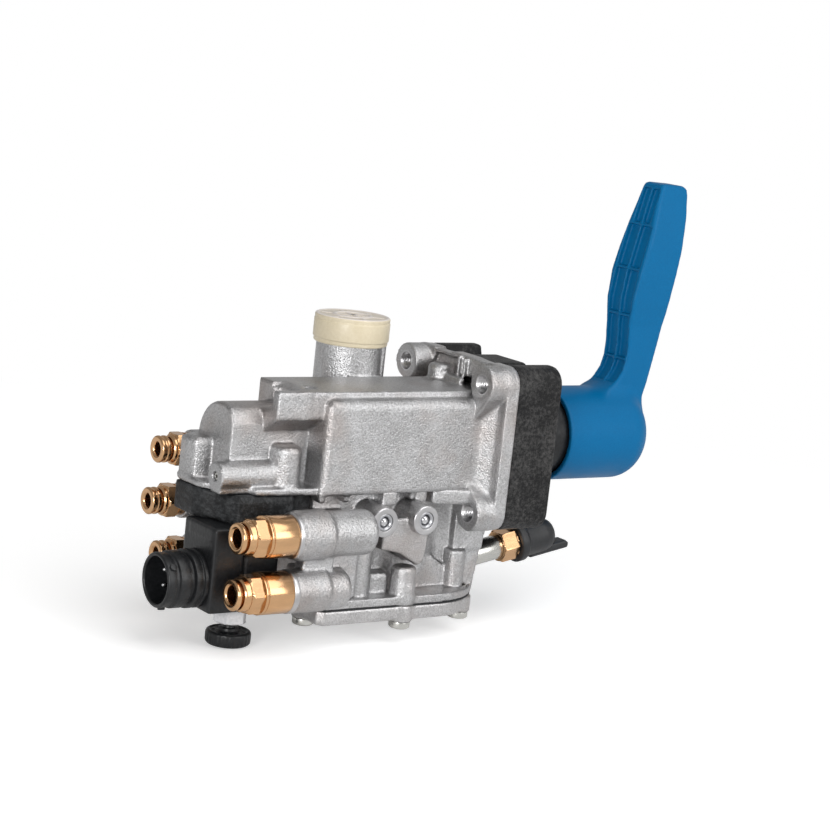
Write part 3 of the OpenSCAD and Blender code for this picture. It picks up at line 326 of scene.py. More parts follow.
class Field:
    def __init__(self, low, high, step):
        self.low, self.step = np.array(low, float), step * coarse
        count = np.ceil((np.array(high, float) - self.low) / self.step).astype(int) + 1
        self.values = np.full(count, 9.0, np.float32)
        self.axes = [self.low[i] + self.step * np.arange(count[i]) for i in range(3)]

    def window(self, shape, pad):
        part, coords = [], []
        for i in range(3):
            first = max(int((shape.low[i] - pad - self.low[i]) / self.step), 0)
            last = min(int(math.ceil((shape.high[i] + pad - self.low[i]) / self.step)) + 1,
                       self.values.shape[i])
            part.append(slice(first, last))
            form = [1, 1, 1]
            form[i] = last - first
            coords.append(self.axes[i][first:last].reshape(form).astype(np.float32))
        return tuple(part), coords

    def add(self, *shapes, blend=1.2):
        for shape in shapes:
            part, coords = self.window(shape, blend + 2 * self.step)
            self.values[part] = smoothMin(self.values[part], shape.distance(*coords), blend)

    def cut(self, *shapes, blend=0.8):
        for shape in shapes:
            part, coords = self.window(shape, blend + 2 * self.step)
            self.values[part] = -smoothMin(-self.values[part], shape.distance(*coords), blend)

    def skin(self):
        # Surface nets: one point in each cell that the surface crosses, and one quad across each grid edge
        # that it crosses.
        f = self.values
        inside = f < 0
        cells = tuple(n - 1 for n in f.shape)
        corners = [(i, j, k) for i in (0, 1) for j in (0, 1) for k in (0, 1)]
        count = sum(inside[i:i + cells[0], j:j + cells[1], k:k + cells[2]].astype(np.int8) for i, j,
                    k in corners)
        at = np.argwhere((count > 0) & (count < 8))
        number = np.full(cells, -1, np.int64)
        number[tuple(at.T)] = np.arange(len(at))
        level = [f[tuple((at + c).T)] for c in corners]
        total, crossed = np.zeros((len(at), 3)), np.zeros(len(at))
        for a, b in [(a, b) for a in range(8) for b in range(a + 1, 8)]:
            step = np.subtract(corners[b], corners[a])
            if np.abs(step).sum() == 1:
                hit = (level[a] < 0) != (level[b] < 0)
                share = np.where(hit, level[a] / np.where(hit, level[a] - level[b], 1), 0)
                total += hit[:, None] * (np.array(corners[a]) + share[:, None] * step)
                crossed += hit
        points = self.low + self.step * (at + total / crossed[:, None])
        faces = []
        for axis in range(3):
            one, two = [i for i in range(3) if i != axis]
            low, high = [slice(None)] * 3, [slice(None)] * 3
            low[axis], high[axis] = slice(0, -1), slice(1, None)
            change = np.argwhere(inside[tuple(low)] != inside[tuple(high)])
            change = change[(change[:, one] > 0) & (change[:, two] > 0)
                            & (change[:, one] < cells[one]) & (change[:, two] < cells[two])]
            ring = []
            for back in ((1, 1), (0, 1), (0, 0), (1, 0)):
                cell = change.copy()
                cell[:, one] -= back[0]
                cell[:, two] -= back[1]
                ring.append(number[tuple(cell.T)])
            quads = np.stack(ring, 1)
            turned = ~inside[tuple(change.T)] if axis != 1 else inside[tuple(change.T)]
            quads[turned] = quads[turned][:, ::-1]
            faces.append(quads)
        return points, np.concatenate(faces)


# Turned pieces: a profile of (along, radius) points goes round an axis; form may change the radius by angle.

def softened(profile, radius=0.25, steps=2, closed=True):
    p = np.array(profile, float)
    out = []
    count = len(p)
    for i in range(count):
        if not closed and i in (0, count - 1):
            out.append(p[i])
            continue
        before, after = p[i - 1] - p[i], p[(i + 1) % count] - p[i]
        one, two = np.linalg.norm(before), np.linalg.norm(after)
        reach = min(radius, 0.45 * one, 0.45 * two)
        a, b = p[i] + before / one * reach, p[i] + after / two * reach
        for t in np.linspace(0, 1, steps + 1):
            out.append((1 - t) ** 2 * a + 2 * t * (1 - t) * p[i] + t * t * b)
    return np.array(out)


def spin(profile, steps=96, form=None):
    # A profile whose ends are at radius 0 is closed by poles, any other is a closed ring.
    p = np.array(profile, float)
    poles = p[0][1] < 1e-6 and p[-1][1] < 1e-6
    body = p[1:-1] if poles else p
    angle = np.linspace(0, 2 * np.pi, steps, endpoint=False)
    along = np.repeat(body[:, :1], steps, 1)
    radius = np.repeat(body[:, 1:], steps, 1)
    if form:
        radius = form(along, radius, angle[None, :])
    points = np.stack([along, radius * np.cos(angle), radius * np.sin(angle)], 2).reshape(-1, 3)
    rows = len(body)
    here = np.arange(steps)
    after = (here + 1) % steps
    faces = []
    for i in range(rows - 1 if poles else rows):
        a, b = i * steps, ((i + 1) % rows) * steps
        faces += np.stack([a + here, a + after, b + after, b + here], 1).tolist()
    if poles:
        first, last = len(points), len(points) + 1
        points = np.concatenate([points, [[p[0][0], 0, 0], [p[-1][0], 0, 0]]])
        faces += [[first, int(j), int(i)] for i, j in zip(here, after)]
        end = (rows - 1) * steps
        faces += [[last, int(end + i), int(end + j)] for i, j in zip(here, after)]
    return points, faces


def outward(points, faces):
    # Turns the faces over if the volume they enclose comes out negative.
    p = np.asarray(points)
    volume = 0.0
    for face in faces:
        a, b, c = p[face[0]], p[face[1]], p[face[2]]
        volume += np.dot(a, np.cross(b, c))
        if len(face) == 4:
            volume += np.dot(a, np.cross(c, p[face[3]]))
    return faces if volume > 0 else [face[::-1] for face in faces]


# Rows of a turn: where the profile's own axis and its two sides go
axisX = np.eye(3)
axisY = np.array([[0, 1, 0], [0, 0, 1], [1, 0, 0]], float)
axisZ = np.array([[0, 0, 1], [1, 0, 0], [0, 1, 0]], float)


def placed(points, at=(0, 0, 0), turn=axisX):
    return np.asarray(points) @ turn + np.array(at, float)


def gather(parts):
    points, faces, start = [], [], 0
    for p, f in parts:
        points.append(np.asarray(p))
        faces += [[int(i) + start for i in face] for face in f]
        start += len(p)
    return np.concatenate(points), faces


def turnedPart(profile, at, turn=axisX, steps=96, form=None, soft=0.2, closed=True):
    p, f = spin(softened(profile, soft, 2, closed), steps, form)
    p = placed(p, at, turn)
    return p, outward(p, f)


def hexForm(width, start, end, turn=0.0):
    # Between start and end the radius is cut down to a hexagon of that width across flats.
    low, high = min(start, end), max(start, end)

    def form(along, radius, angle):
        local = np.mod(angle + math.radians(turn), math.pi / 3) - math.pi / 6
        flat = width / 2 / np.cos(local)
        return np.where((along >= low) & (along <= high), np.minimum(radius, flat), radius)
    return form


# Places that several pieces share

mountHoles = [(y, z) for y in (-30, 30) for z in (-30, 30)]
neckAt = (-34, 29)
domes = ((-92, -15), (-120.5, 10.8), (-92, 10.6))
galleries, galleryZ = (-50, -27.5), -31
nearY, farY = -35, 35
portZ = {"top": -11.4, "middle": -35, "bottom": -60}
farFaces = {"top": -111.9, "middle": -114.5, "bottom": -107.9}
farBig, farSlim, farBore, farBoreDeep = 8.5, 7.7, 5.9, 9.4
stopHole = (-12, -13.1)

# Castings

upper = {"noseEnd": -118.7, "noseR": 17.3, "wallY": -10.8, "low": -20.5, "top": 25.4, "bulgeY": -27.0,
         "bulgeTop": 22.6, "plate": 38.6, "corner": 8.6, "holeR": 4.15, "neckR": 15.8, "neckTop": 49.2,
         "neckBore": 12.5, "rotorBore": 12.0, "journalBore": 6.05}


def makeUpper(s):
    f = Field((-129, -41, -41), (18.5, 47.5, 51), 0.86)
    low = s["low"]
    nose = [(s["wallY"], low), (s["wallY"], 9.9)] + arc((-3.8, 9.9), 7, 180, 92, 5) + \
        arc((0, 0), s["noseR"], 100, 0, 14) + [(s["noseR"], low)]
    f.add(prism(0, nose, s["noseEnd"], -72, 1.1))
    f.add(prism(0, [(-11.3, low), (-11.3, 10.4), (-8, 10.4), (-8, low)], s["noseEnd"] + 0.3, -76, 0.5),
          blend=0.3)
    top = [(-22, s["top"]), (-22, 13.4), (-10.9, 6), (-10.9, 0), (14.6, 0), (14.6, s["top"])]
    f.add(prism(0, top, -91, 12, 0.7), blend=1.0)
    ear = [(-22, s["top"]), (-22, 13.4), (-10.9, 6), (-8, 6), (-8, 16.5), (-16.5, 18.6), (-16.5, s["top"])]
    f.add(prism(0, ear, -103, -86, 0.6), blend=0.8)
    # The top's left end is hollowed between its ear and its far corner, and its floor slopes down to it.
    f.cut(rod(2, 10.5, 17.9, 30, (-97.5, -5.6), 0.5), blend=1.2)
    f.cut(prism(1, [(-94, 27), (-94, 22.6), (-85.5, 24.6), (-83.5, 26), (-83.5, 27)], -16.2, 3, 0.5),
          blend=1.5)
    f.cut(ball(5.6, (-80.6, -10, s["top"] + 4.0)), blend=0.7)
    bulge = Field((-129, -41, -41), (18.5, 47.5, 51), 0.86)
    bulge.add(block((-79, s["bulgeY"], low - 10), (20, 12, s["bulgeTop"]), 4.6), blend=0)
    bulge.add(block((-79, 0, low - 10), (20, 32, 19), 4.6), blend=0)
    bulge.cut(block((-140, -60, -60), (60, 60, low), 0.0), blend=1.6)
    bulge.cut(block((10, -60, -60), (60, 60, 60), 0.0), blend=0)
    f.values = smoothMin(f.values, bulge.values, 1.0)
    # Web that widens into the plate, and the fins under the bosses
    f.add(prism(2, [(3.6, -26.5), (9.5, -34.2), (12, -34.2), (12, -20), (3.6, -20)], -24, 24, 0.4),
          blend=1.6)
    for side in (-1, 1):
        tip = 13.4 if side > 0 else -17
        f.add(prism(0, [(-36.5, side * 24.8), (-27.2, tip), (-24, tip), (-24, side * 24.8)], 0.15, 10, 0.4),
              blend=0.7)
    plate = roundedSquare(s["plate"], s["corner"])
    f.add(prism(0, plate, 9, 15.95, 0.5), blend=0.9)
    for at in mountHoles:
        f.add(rod(0, s["corner"], 0, 12, at, 0.35), blend=0.9)
    # Upper edge of the plate: dips, two thin ribs and a domed pad
    f.cut(prism(0, [(-22, 45), (-20.5, 38.0), (-10, 38.4), (-8, 45)], 4, 20, 0.4), blend=1.2)
    f.cut(prism(0, [(7, 45), (8, 37.7), (20, 37.5), (22.5, 45)], 4, 20, 0.4), blend=1.2)
    f.cut(prism(0, [(0.5, 36), (0.5, 27.5), (19, 26.5), (21.4, 30), (19.5, 36)], 8.0, 11.6, 0.8), blend=1.6)
    for y, z0, z1 in ((-1.6, 29, 38.2), (-6.2, 27.5, 37.4)):
        f.add(block((6.6, y - 0.8, z0), (12, y + 0.8, z1), 0.6), blend=0.8)
    f.add(block((3.5, -9, 22), (11, 7, 28.6), 0.7), blend=1.2)
    f.add(rod(2, 5.8, 20, 32.6, (5.6, 9.8), 2.6), blend=1.0)
    f.cut(prism(2, [(-0.5, -19.6), (4.6, -13.2), (17, 17), (17, -19.6)], 25.2, 29, 0.3), blend=0.9)
    # Filter neck with its proud pad
    f.add(rod(2, s["neckR"], 0, s["neckTop"], neckAt, 0.4), blend=1.6)
    for radius, start, end, steps in ((16.9, -170, -66, 14), (17.0, -50, -32, 4)):
        f.add(prism(2, arc(neckAt, radius, start, end, steps) + [neckAt], 10, 47, 0.4), blend=0.3)
    # Lip along the foot, domed bosses, tube boss
    lip = [(-127.2, 17.3), (-127.2, 1), (-125.5, -3.2), (-121, -8.5), (-113, -12), (-109, -20.5),
           (-106, -21.8), (-79, -23.5), (-72, -23.5), (-72, 17.3)]
    f.add(prism(2, lip, low, low + 3, 0.5), blend=1.4)
    for at in domes:
        f.add(rod(2, 6.9, low, 0.5, at, 2.4), blend=1.3)
    f.add(prism(2, [(-98.8, -15), (-97.5, -9), (-86, -9), (-85.4, -15), (-90, -21.8), (-94, -21.8)], low,
                0.3, 2.2), blend=1.0)
    f.add(prism(2, [(-127.2, 10), (-126, 5.5), (-121, 3.4), (-112, 3.2), (-112, 17.2), (-127.2, 17.2)], low,
                0, 2.2), blend=1.0)
    f.add(rod(0, 6.4, -125.6, -96, stopHole, 0.5), blend=1.0)
    f.add(block((-125.3, -16.5, low + 0.1), (-100, -8, -13), 0.5), blend=0.8)
    # Small ribs under the bulge
    for x in (-77.5, -64.5, -28.5):
        f.add(block((x - 1.6, -25.6, low - 3.4), (x + 1.6, -19, low + 4), 0.7), blend=1.4)
    # Highest of the far ports
    at, face = (farY, portZ["top"]), farFaces["top"]
    f.add(rod(0, farBig, face, -90, at, 0.6), rod(0, farSlim, -91, -60, at, 2.5), blend=1.0)
    f.add(block((-90, 12, at[1] - 6), (-62, farY, at[1] + 6), 1.5), blend=1.5)
    f.cut(rod(0, farBore, face - 3, face + farBoreDeep, at, 0), blend=0)
    # Bores
    f.cut(rod(0, s["rotorBore"], -75.5, 30, (0, 0), 0), blend=0)
    f.cut(rod(0, s["journalBore"], -112, -70, (0, 0), 0), blend=0)
    f.cut(rod(2, s["neckBore"], 0.6, 60, neckAt, 0), blend=0)
    f.cut(rod(0, 2.1, -127, -104, stopHole, 0), blend=0.3)
    for at in mountHoles:
        f.cut(rod(0, s["holeR"], -2, 20, at, 0), blend=0.2)
    points, faces = f.skin()
    return makePiece("castUpper", points, faces, "cast_aluminium", replaced=["valve_housing"], sharp=0)


footOutline = [(-78, 30), (-78, -30), (-75, -33)] + arc((-11.5, 0), 33, -90, 90, 20) + [(-75, 33)]
cover = {"top": -71.5, "low": -78.5, "screws": ((-31, -29), (-31, 29), (-73, -13), (-73, 13), (8, -21),
                                                (8, 21))}
lower = {"foot": -71.0, "top": -19.8, "core": 19.5, "chambers": (-52, -20), "chamberR": 13.0, "stemR": 6.1,
         "wallR": 17.5}


def makeLower(s):
    f = Field((-116, -47.5, -72.5), (23.5, 45, -18), 0.86)
    foot, top = s["foot"], s["top"]
    f.add(block((-78, -s["core"], foot), (11, s["core"], top), 0.8))
    # Hollow beside the right gallery boss
    f.cut(rod(2, 15, -57, -18, (-5.5, -31.8), 3.0), blend=2.0)
    # Chamber walls bulge towards the near side
    for x in s["chambers"]:
        f.add(rod(2, s["wallR"], foot, -44, (x, -3.2), 1.5), blend=2.0)
    f.add(prism(2, footOutline, foot, foot + 4, 0.5), blend=1.0)
    # Slanted end wall with its step and its round pillar
    f.add(prism(1, [(0.5, -27), (19.8, -30), (17.4, -50), (0.5, -50)], -22, 15, 0.6), blend=1.0)
    f.add(prism(1, [(6.5, -45), (18, -45), (14.4, foot + 0.2), (6.5, foot + 0.2)], -21.2, 15, 0.6),
          blend=1.0)
    f.add(rod(2, 4.9, foot, -49.4, (3.2, -20.3), 0.5), blend=0.6)
    # Near ports, stepped and rounded off at their inner ends
    for row, big, step, small, end in (("middle", 11.0, -81.5, 10.1, -57.5), ("bottom", 9.7, -80, 8.8, -68)):
        z = portZ[row]
        f.add(rod(0, big, -97.2, step, (nearY, z), 0.7), blend=1.0)
        f.add(rod(0, small, step - 2, end, (nearY, z), 3.4), blend=1.2)
        f.add(rod(0, big - 0.9, -99.4, -95, (nearY, z), 0.3), blend=0.3)
        f.add(block((-86, nearY, z - 7), (end - 6, -14, z + 7), 1.5), blend=1.6)
    f.add(block((-92, -37.5, -57), (-76, -30, -38), 1.0), blend=1.4)
    f.add(block((-84, -33, -66), (-60, -18, -38), 1.0), blend=1.4)
    # Far ports
    for row in ("middle", "bottom"):
        at, z = (farY, portZ[row]), portZ[row]
        f.add(rod(0, farBig, farFaces[row], -78, at, 0.6), rod(0, farSlim, -79, -59, at, 2.5), blend=1.0)
        f.add(block((-84, 16, z - 6), (-61, farY, z + 6), 1.5), blend=1.5)
    # Gallery bosses and the curved web under them
    for x in galleries:
        f.add(rod(1, 6.75, -36.2, -15, (x, galleryZ), 0.3), blend=0.8)
    web = [(-46.6, -31), (-46.4, -45.2), (-42, -46), (-36.5, -47.4), (-31, -50.6), (-25.5, -53.4),
           (-22.6, -52), (-21.4, -44), (-21, -31)]
    f.add(prism(1, web, -31.2, -14, 0.8), blend=1.4)
    # Column, low box and the cover screws' pillars
    f.add(rod(2, 6.4, foot, -45, (-54, -23.6), 0.8), blend=1.3)
    f.add(block((-50, -25.5, foot), (-36.3, -10, -57.2), 2.4), blend=1.2)
    f.add(rod(2, 5.7, foot, -53.6, (-31.3, -28.6), 1.6), blend=1.2)
    f.add(rod(2, 5.4, foot, -62, (-31, -29), 0.6), blend=1.5)
    for x, y in ((-31, 29), (-73, -13), (-73, 13), (8, 18)):
        f.add(rod(2, 4.9, foot, -54, (x, y), 1.0), blend=1.2)
    # Low raised outline beside the pillar
    f.add(prism(1, [(-25, -53), (-9.5, -52.2), (-3, -57), (-1.2, -60.5), (-1.6, foot + 3), (-25, foot + 3)],
                -19.8, -10, 0.8), blend=0.9)
    # Small pieces between the two bodies
    f.add(block((-46, -27, -26), (-38, -16, -19.4), 0.8), block((-26, -24, -26), (-19, -14, -19.4), 0.8),
          blend=1.4)
    f.add(prism(2, [(-17, -25.5), (3, -31), (3, -15), (-17, -15)], -26.5, -19.4, 1.0), blend=1.5)
    # Bores
    for x in s["chambers"]:
        f.cut(rod(2, s["chamberR"], -75, -48, (x, 0), 0), rod(2, s["stemR"], -50, -31, (x, 0), 0), blend=0)
    for row in ("middle", "bottom"):
        f.cut(rod(0, 6.9, -104, -87.8, (nearY, portZ[row]), 0), blend=0)
        face = farFaces[row]
        f.cut(rod(0, farBore, face - 3, face + farBoreDeep, (farY, portZ[row]), 0), blend=0)
    for x in galleries:
        f.cut(rod(1, 4.2, -38, -28.6, (x, galleryZ), 0), blend=0)
    for x, y in cover["screws"]:
        f.cut(rod(2, 3.2, -73, -58.4 if x < 0 else -67, (x, y), 0), blend=0)
    points, faces = f.skin()
    return makePiece("castLower", points, faces, "cast_aluminium", replaced=["port_body"], sharp=0)


makeUpper(upper)
makeLower(lower)
print("castings made")

def makeCover(s):
    f = Field((-80, -35.5, -80.5), (24, 35.5, -70), 0.8)
    f.add(prism(2, footOutline, s["low"], s["low"] + 14, 2.2), blend=0)
    f.cut(block((-99, -60, s["top"]), (60, 60, -50), 0), blend=0.3)
    for x, y in s["screws"]:
        f.add(rod(2, 5.5, s["low"] - 0.7, s["top"], (x, y), 0.6), blend=1.0)
    for x, y in s["screws"]:
        f.cut(rod(2, 3.3, s["low"] - 3, s["top"] + 1, (x, y), 0), blend=0)
    points, faces = f.skin()
    makePiece("baseCover", points, faces, "cover_aluminium", replaced=["base_cover"], sharp=0)
    # Socket screws below it: shank, round head, hexagon hole
    seat = s["low"] - 0.8
    head = [(seat - 1.4, 0), (seat - 1.4, 2.4), (seat - 3.1, 2.4), (seat - 3.3, 2.7), (seat - 3.3, 4.2),
            (seat - 2.7, 4.9), (seat, 4.9), (seat, 2.9)]

    def socket(along, radius, angle):
        local = np.mod(angle, math.pi / 3) - math.pi / 6
        return np.where((radius > 2.2) & (radius < 2.45), 2.1 / np.cos(local), radius)
    parts = []
    for x, y in s["screws"]:
        tip = -59.2 if x < 0 else -67.2
        parts.append(turnedPart(head + [(tip, 2.9), (tip, 0)], (x, y, 0), axisZ, 48, socket, closed=False))
    points, faces = gather(parts)
    return makePiece("coverScrews", points, faces, "zinc_steel", replaced=["cover_screws"])


makeCover(cover)

lever = {"x0": 63.6, "round": 14.0, "hubR": 22.8, "len": 55.0, "tip": 124.0, "pocket": 2.6}


def makeLever(s):
    x0, hubR = s["x0"], s["hubR"]
    f = Field((x0 - 2, -24.5, -24.5), (x0 + 71, 24.5, s["tip"] + 2), 0.72)
    f.add(rod(0, hubR, x0, x0 + s["len"], (0, 0), 0.7), blend=0)
    hub = rod(0, hubR, x0 - 30, x0 + s["len"], (0, 0), s["round"])
    part, coords = f.window(hub, 4)
    f.values[part] = np.maximum(f.values[part], hub.distance(*coords))
    side = [(28, 8), (31, 22.4), (33.5, 24.6), (36, 27.4), (38.8, 31.6), (40.3, 37), (40.5, 44), (39.6, 54),
            (39.2, 66), (41, 80), (43.8, 92), (46.6, 104), (49.2, 115), (50.9, 121.6), (52.1, 123.6),
            (54, 124), (65.5, 123.6), (68, 122.2), (68.7, 119), (68.7, 110), (66.6, 92), (64.6, 80),
            (62.4, 60), (60, 46), (56, 26), (51, 8)]
    blade = prism(1, [(x0 + x, z) for x, z in side], -12, 12, 1.0)
    grip = [(9.5, -3), (9.2, 44), (9.2, 54), (10.5, 66), (11.5, 80), (11.1, 92), (9.8, 104), (8.2, 114),
            (7.0, 125)]
    front = prism(0, grip + [(-half, z) for half, z in grip[::-1]], x0 - 5, x0 + 75, 1.0)
    both = Shape(blade.low, blade.high,
                 lambda x, y, z: -smoothMin(-blade.distance(x, y, z), -front.distance(x, y, z), 2.0))
    f.add(both, blend=5.0)
    # Pockets on both sides of the middle rib, one depth below the slanted edge, with thin ribs between them
    edge = side[1:14]
    for low, high in ((26, 36.8), (38.2, 58.4), (59.8, 81), (82.4, 102.8), (104.2, 121)):
        far = np.interp([low, high], [z for _, z in grip], [half for half, _ in grip]).min() - 1.6
        floor = [(x0 + np.interp(z, [v for _, v in edge], [x for x, _ in edge]) + s["pocket"], z)
                 for z in np.linspace(high, low, 4)]
        for y0, y1 in ((0.65, far), (-far, -0.65)):
            f.cut(prism(1, [(x0 + 18, low), (x0 + 18, high)] + floor, y0, y1, 0.7), blend=0.5)
    f.cut(rod(0, hubR - 2.4, x0 - 5, x0 + 16, (0, 0), 0), blend=0.3)
    f.cut(rod(0, 6.05, x0 + 8, x0 + s["len"] - 15.8, (0, 0), 0), blend=0)
    f.cut(rod(2, 2.1, -24, 14, (x0 + 25, 0), 0), blend=0)
    points, faces = f.skin()
    return makePiece("leverArm", points, faces, "blue_plastic", "lever_group", ["lever"], sharp=0)


makeLever(lever)
print("lever made")

spacer = {"x0": 16.0, "x1": 41.0, "half": 38.6}


def makeSpacer(s):
    f = Field((14.5, -40.5, -40.5), (42.5, 40.5, 40.5), 0.8)
    h = s["half"]
    f.add(prism(0, roundedSquare(h, 8.6), s["x0"], s["x1"], 1.3), blend=0)
    f.cut(prism(0, [(-26, h + 3), (-24.5, h - 2.3), (24.5, h - 2.3), (26, h + 3)], 0, 60, 0), blend=1.5)
    f.cut(prism(0, [(-26, h + 3), (-25, h - 5), (-11, h - 5), (-9.5, h + 3)], 0, 60, 0), blend=1.5)
    f.cut(prism(0, [(12.5, h + 3), (14, h - 5), (24, h - 5), (25.5, h + 3)], 0, 60, 0), blend=1.5)
    f.cut(rod(0, 16.9, 24, 50, (0, 0), 0), rod(0, 7.1, 10, 30, (0, 0), 0), blend=0)
    for at in mountHoles:
        f.cut(rod(0, 4.4, 10, 50, at, 0), blend=0.3)
    for y in (-22, 22):
        for z in (-22, 22):
            f.cut(rod(0, 5.0, 28.9, 50, (y, z), 0), rod(0, 2.6, 10, 50, (y, z), 0), blend=0.3)
    points, faces = f.skin()
    return makePiece("spacerBody", points, faces, "frame_black", replaced=["spacer_frame"], sharp=0)


def makePilot():
    f = Field((-129.5, -23, -35.5), (-75, 19.5, -19), 0.8)
    plan = [(-127.6, 17.4), (-127.6, 1), (-125.4, -3.5), (-120.5, -8.5), (-119, -14), (-117, -20),
            (-89.5, -20.4), (-86.5, -17), (-78.1, -17), (-78.1, 17.4)]
    f.add(prism(2, plan, -33.7, -20.6, 1.4), blend=0)
    f.add(prism(2, [(-121.6, -7), (-119, -16), (-115, -20.5), (-90, -20.5), (-87, -17), (-87, -7)], -33.6,
                -22.4, 1.2), blend=1.0)
    for at in domes:
        f.cut(rod(2, 4.4, -38, -29.7, at, 0), rod(2, 2.4, -38, -15, at, 0), blend=0.2)
    points, faces = f.skin()
    return makePiece("pilotBody", points, faces, "pilot_black", replaced=["pilot_plate"], sharp=0)


def makeBlock():
    f = Field((-131.5, -26, -73.5), (-94, 5, -32), 0.8)
    f.add(block((-129.7, -24, -71.7), (-96.1, 3, -33.75), 1.4), blend=0)
    f.add(block((-129.7, -22, -40), (-122, -2, -33.75), 1.0), blend=1.0)
    f.cut(block((-115, -26, -44), (-90, -22.2, -36), 1.0), block((-114, -26, -62), (-112.6, -22.8, -46),
                                                                 0.3), blend=0.6)
    f.cut(rod(2, 9.8, -59.7, -37.7, (-105.9, -10.5), 0), rod(2, 2.7, -75, -63.7, (-111.1, -12), 0), blend=0)
    f.cut(rod(0, 6.1, -133, -123.8, (-10, -58.6), 0), blend=0)
    points, faces = f.skin()
    return makePiece("solenoidBody", points, faces, "black_plastic", replaced=["solenoid_block"], sharp=0)


makeSpacer(spacer)
makePilot()
makeBlock()
print("black bodies made")

# Fittings: bodies and release collets turned about the tube's axis, face is the port face
nearFit = {"tube": 4.0, "body": 9.4, "bodyLen": 14.3, "hex": 16.0, "hexLen": 6.3, "neck": 7.5,
           "neckLen": 3.1, "groove": 5.9, "head": 6.9, "headLen": 1.7, "thread": 6.6, "threadLen": 11.0,
           "ring": 1.2}
farFit = {"tube": 3.0, "body": 7.2, "bodyLen": 3.0, "hex": 14.0, "hexLen": 6.0, "neck": 6.4, "neckLen": 1.7,
          "groove": 5.0, "head": 6.15, "headLen": 4.4, "thread": 5.6, "threadLen": 9.0, "ring": 0.0}
ports = {"near_upper": (nearFit, 99.5, nearY, portZ["middle"], 8),
         "near_lower": (nearFit, 99.5, nearY, portZ["bottom"], 4)}
for row, face in farFaces.items():
    ports["far_" + row] = (farFit, 0.1 - face, farY, portZ[row], 0)


def makeFitting(name, fit, face, y, z, turn):
    a = -face - fit["bodyLen"]
    b = a - fit["hexLen"]
    c = b - fit["neckLen"]
    across, corner = fit["hex"] / 2, fit["hex"] / math.sqrt(3)
    rise = (corner - across) * 0.75
    body = [(-face + fit["threadLen"], fit["thread"]), (-face + 0.02, fit["thread"]), (-face, fit["body"])]
    if fit["ring"]:
        body += [(a + fit["ring"] + 0.5, fit["body"]), (a + fit["ring"] + 0.4, fit["body"] - 0.35),
                 (a + fit["ring"], fit["body"] - 0.35), (a + fit["ring"] - 0.1, fit["body"])]
    body += [(a + 0.02, fit["body"]), (a, across + rise * 0.6), (a - rise * 0.8, corner + 0.01),
             (b + rise, corner + 0.01), (b, across - 0.1), (b, fit["neck"]), (c + 0.9, fit["neck"]),
             (c, fit["neck"] - 0.7), (c, fit["groove"] + 0.5), (c + 0.5, fit["groove"] + 0.05),
             (c + 9, fit["groove"] + 0.05), (c + 9, fit["tube"] + 0.12), (c + 18, fit["tube"] + 0.12),
             (c + 18, 2.4), (-face + fit["threadLen"], 2.4)]
    p, f = turnedPart(body, (0, y, z), axisX, 144, hexForm(fit["hex"], b - 0.01, a + 0.01, turn), 0.22)
    makePiece(name + "Body", p, f, "brass", replaced=[name + "_fitting"], sharp=30)
    mouth = c
    out = mouth - 1.5
    end = out - fit["headLen"]
    ring = [(mouth + 5, fit["groove"]), (out, fit["groove"]), (out, fit["head"])]
    if fit["headLen"] > 3:
        ring += [(out - 1.2, fit["head"]), (out - 1.5, fit["head"] - 0.6), (out - 2.5, fit["head"] - 0.6),
                 (out - 2.8, fit["head"])]
    ring += [(end + 0.6, fit["head"]), (end, fit["head"] - 0.6), (end, fit["tube"] + 0.9),
             (end + 0.8, fit["tube"] + 0.1), (mouth + 5, fit["tube"] + 0.1)]
    p, f = turnedPart(ring, (0, y, z), axisX, 96, None, 0.25)
    makePiece(name + "Collet", p, f, "brass", name + "_group", [name + "_collet"], sharp=30)


for name, (fit, face, y, z, turn) in ports.items():
    makeFitting(name, fit, face, y, z, turn)


def portSteps():
    # Milled aluminium rims around the two near fittings
    parts = []
    for z, r in ((portZ["middle"], 10.2), (portZ["bottom"], 9.7)):
        rim = [(-99.42, 6.95), (-99.48, r - 0.5), (-99.0, r + 0.05), (-97.1, r + 0.05), (-96, r - 1),
               (-96, 6.95)]
        parts.append(turnedPart(rim, (0, nearY, z), axisX, 96, None, 0.2))
    return makePiece("portRims", *gather(parts), "milled")


portSteps()
print("fittings made")


def threadSleeves():
    # Screw threads in the mounting holes: r = mean + deep * saw(x / pitch - angle / 2 pi)
    mean, deep, pitch = 3.45, 0.42, 1.25
    steps, rows = 60, 100
    angle = np.linspace(0, 2 * np.pi, steps, endpoint=False)
    x = np.linspace(0.9, 15.9, rows)
    phase = np.mod(x[:, None] / pitch - angle[None, :] / (2 * np.pi), 1)
    inner = mean + deep * (2 * np.abs(2 * phase - 1) - 1)
    rim = [(0.6, 5.2), (-0.03, 4.9), (-0.03, 4.3), (0.5, 3.9)]
    back = [(15.9, 4.7), (0.9, 4.7)]
    rings = [np.full(steps, r) for _, r in rim] + list(inner) + [np.full(steps, r) for _, r in back]
    along = [a for a, _ in rim] + list(x) + [a for a, _ in back]
    points = np.array([[a + 0 * angle, r * np.cos(angle), r * np.sin(angle)] for a, r in zip(along, rings)])
    points = points.transpose(0, 2, 1).reshape(-1, 3)
    count = len(rings)
    here = np.arange(steps)
    after = (here + 1) % steps
    faces = np.concatenate([np.stack([i * steps + here, i * steps + after, (i + 1) % count * steps + after,
                                      (i + 1) % count * steps + here], 1) for i in range(count)])
    faces = outward(points, faces.tolist())
    parts = [(points + np.array([0, y, z]), faces) for y, z in mountHoles]
    return makePiece("holeThreads", *gather(parts), "milled", sharp=50)


threadSleeves()


